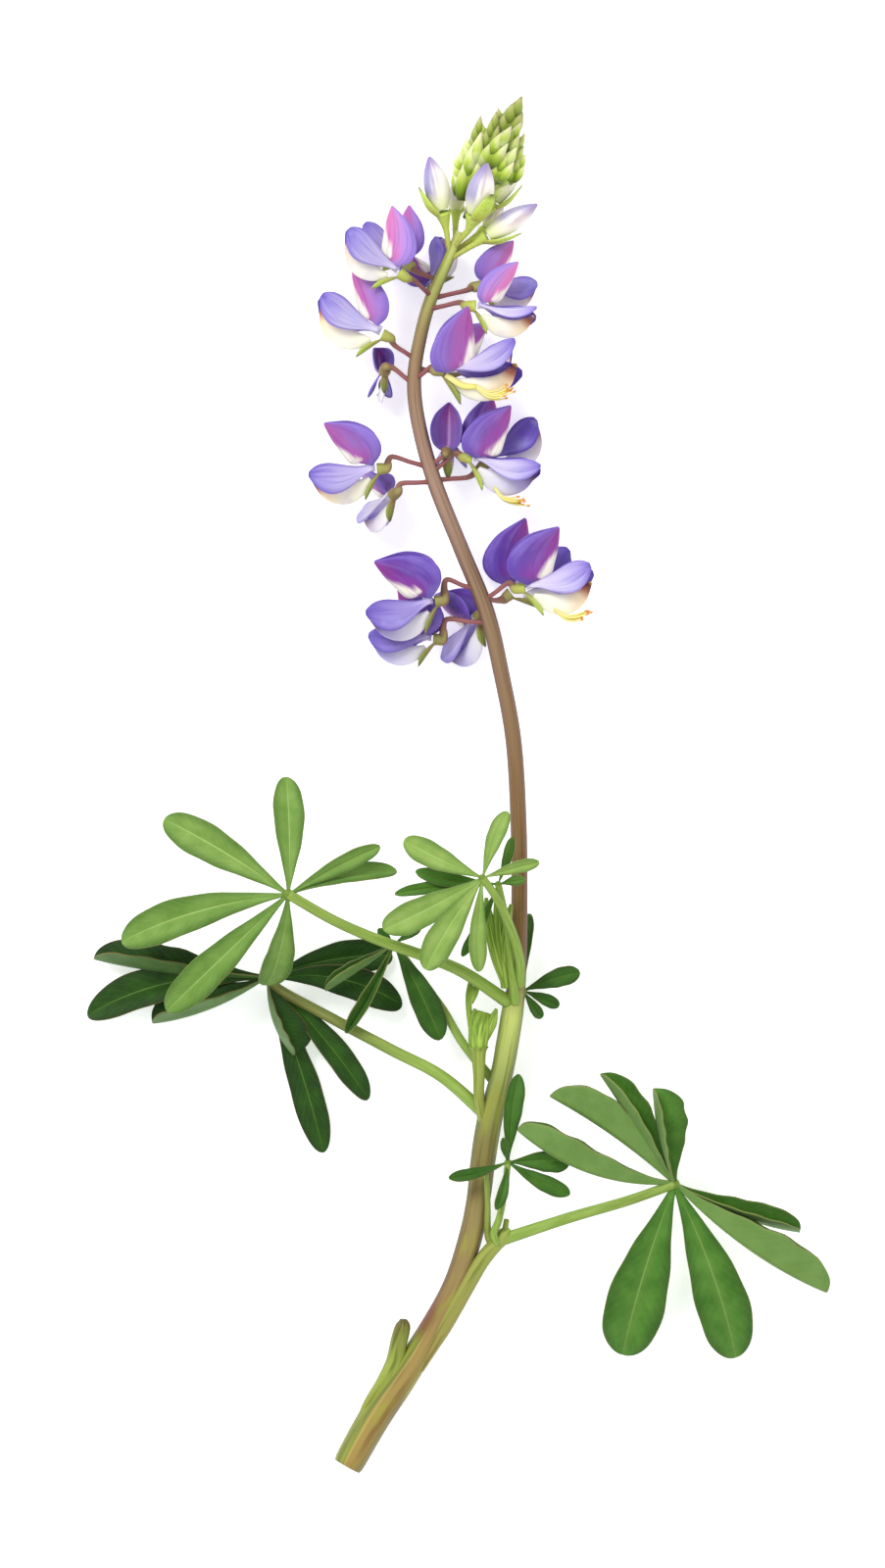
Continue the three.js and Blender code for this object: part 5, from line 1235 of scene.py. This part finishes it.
# ---- stem ----
# What runs a strand on below the stem's skin, and its round end: [x, y, z, radius]
BRANCH_FOOT = [-7.0, -107.4, 3.4, 0.8]
BRANCH_END = [[8.8, -82.4, 7.7, 1.5], [9.7, -81.5, 7.7, 0.7]]
STUB_FOOT = [-18.2, -118.6, 1.9, 1.0]
TWIG_FEET = [[7.2, -84.8, 7.0, 0.9], [8.0, -83.4, 7.2, 0.7]]
SHOOT_STEM_END = [3.8, -47.8, 10.5, 1.9]
STEM_GRID = (40, 320)
STRAND_GRID = (24, 60)
SHOOT_STEM_GRID = (20, 30)
TWIG_GRID = (14, 20)


def stem_relief(t, angle):
    """Fine ribs and waves, and a ragged rim at the cut end."""
    ribs = 0.03 * np.cos(5 * angle) + 0.015 * np.cos(9 * angle + 1)
    cut = 0.22 * np.exp(-t / 0.004) * (1 + 0.5 * np.cos(2 * angle))
    return 1 + ribs + 0.012 * np.sin(60 * t + 2 * angle) - cut


def strand_relief(t, angle):
    return 1 + 0.03 * np.cos(4 * angle + 1) + 0.02 * np.sin(9 * t + angle)


def build_stem(materials):
    shape = Shape()
    add_tube(shape, STEM, STEM_GRID, relief=stem_relief)
    add_tube(shape, [BRANCH_FOOT, *BRANCH, *BRANCH_END], STRAND_GRID, slot=4, relief=strand_relief)
    add_tube(shape, [STUB_FOOT, *STUB], STRAND_GRID, slot=5, relief=strand_relief)
    add_tube(shape, [*SIDE_SHOOT_STEM, SHOOT_STEM_END], SHOOT_STEM_GRID, slot=4, reach=(0.5, 1.0))
    for foot, rows in zip(TWIG_FEET, TWIGS):
        add_tube(shape, [foot, *rows], TWIG_GRID, slot=4, reach=(0.5, 1.0))
    for flower in FLOWER_LIST:
        add_calyx(shape, flower)
    for bud in BUDS:
        add_bud_calyx(shape, bud)
    shape.piece("stem", materials, "stem")


# ---- floor, light and camera ----
VIEW_HEIGHT = 288.0  # millimetres that the picture spans
VIEW_CENTRE = (-2.8, 1.45)
VIEW_LEVEL = 10.5  # height of the plane at which it spans them
CAMERA_HEIGHT = 2500.0
SENSOR = 36.0
CLIP_END = 20.0  # metres
FLOOR_SIZE = 4.0  # metres
FLOOR_DROP = 0.4  # below the lowest point of the plant
FLOOR_GLOW = 0.45  # lifts the shadows on the floor to the white of its lit part
FLOOR_WHITE = (250, 250, 252)
WORLD_STRENGTH = 0.74
# Lights: name, place in metres, watts, size in metres
LIGHTS = [("key", (-0.6, 0.8, 1.3), 16.0, 0.6), ("fill", (0.7, -0.5, 1.3), 4.0, 1.2)]


def build_floor():
    bpy.ops.mesh.primitive_plane_add(size=FLOOR_SIZE, location=(0, 0, -FLOOR_DROP * MM))
    floor = bpy.context.object
    floor.name = "floor"
    m = Paint("floor", 0.9, specular=0.4)
    m.base = m.ramp(m.noise(60.0), (0.3, 247, 247, 249), (0.7, *FLOOR_WHITE))
    m.shader.inputs["Emission Color"].default_value = colour(*FLOOR_WHITE)
    m.shader.inputs["Emission Strength"].default_value = FLOOR_GLOW
    floor.data.materials.append(m.finish())


def build_light():
    world = bpy.data.worlds.new("studio")
    bpy.context.scene.world = world
    world.use_nodes = True
    background = world.node_tree.nodes["Background"]
    background.inputs["Color"].default_value = (1.0, 1.0, 1.0, 1.0)
    background.inputs["Strength"].default_value = WORLD_STRENGTH
    for name, place, energy, size in LIGHTS:
        light = bpy.data.lights.new(name, "AREA")
        light.energy = energy
        light.size = size
        lamp = bpy.data.objects.new(name, light)
        lamp.location = place
        lamp.rotation_euler = (-lamp.location).to_track_quat("-Z", "Y").to_euler()
        bpy.context.scene.collection.objects.link(lamp)


def build_camera():
    data = bpy.data.cameras.new("camera")
    data.sensor_width = SENSOR
    data.lens = SENSOR * (CAMERA_HEIGHT - VIEW_LEVEL) / VIEW_HEIGHT
    data.clip_end = CLIP_END
    camera = bpy.data.objects.new("camera", data)
    camera.location = (VIEW_CENTRE[0] * MM, VIEW_CENTRE[1] * MM, CAMERA_HEIGHT * MM)
    bpy.context.scene.collection.objects.link(camera)
    bpy.context.scene.camera = camera


# ---- the scene ----
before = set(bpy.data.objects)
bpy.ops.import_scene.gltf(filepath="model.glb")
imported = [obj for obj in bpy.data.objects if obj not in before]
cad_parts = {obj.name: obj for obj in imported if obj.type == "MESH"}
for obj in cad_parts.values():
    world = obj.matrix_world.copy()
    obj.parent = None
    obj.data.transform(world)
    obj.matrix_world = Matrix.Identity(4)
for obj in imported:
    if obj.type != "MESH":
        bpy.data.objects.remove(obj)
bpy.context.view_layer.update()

petiole = petiole_material()
leaf = leaf_material()
hair = thread_material("hair", (176, 182, 120), (222, 222, 196), 0.6, sheen=0.2, subsurface=0.0)
calyx = calyx_material()
strand = strand_material("strand", (152, 132, 72), (150, 156, 74), (146, 168, 72))
stub = strand_material("stub", (140, 144, 52), (148, 164, 70), (96, 84, 34))
build_stem([stem_material(), pedicel_material(), calyx, hair, strand, stub])
for leaf_name in LEAVES:
    build_leaf(leaf_name, [leaf, petiole])
shoot = shoot_material()
build_shoot("shoot_upper", SHOOT_UPPER, [shoot])
build_shoot("side_shoot", SIDE_SHOOT, [shoot])
petal_paints = [banner_material(), wing_material()]
filament = thread_material("filament", (232, 226, 150), (240, 222, 118))
anther = thread_material("anther", (230, 178, 60), (214, 124, 36))
keel_paints = [keel_material(), filament, anther]
for one in FLOWER_LIST:
    build_petals(one, petal_paints)
    build_keel(one, keel_paints)
bud_paint = bud_petal_material()
for one in BUDS:
    build_bud(one, [bud_paint])
build_head([head_material(), hair])

build_floor()
build_light()
build_camera()
bpy.context.scene.view_settings.view_transform = "Standard"
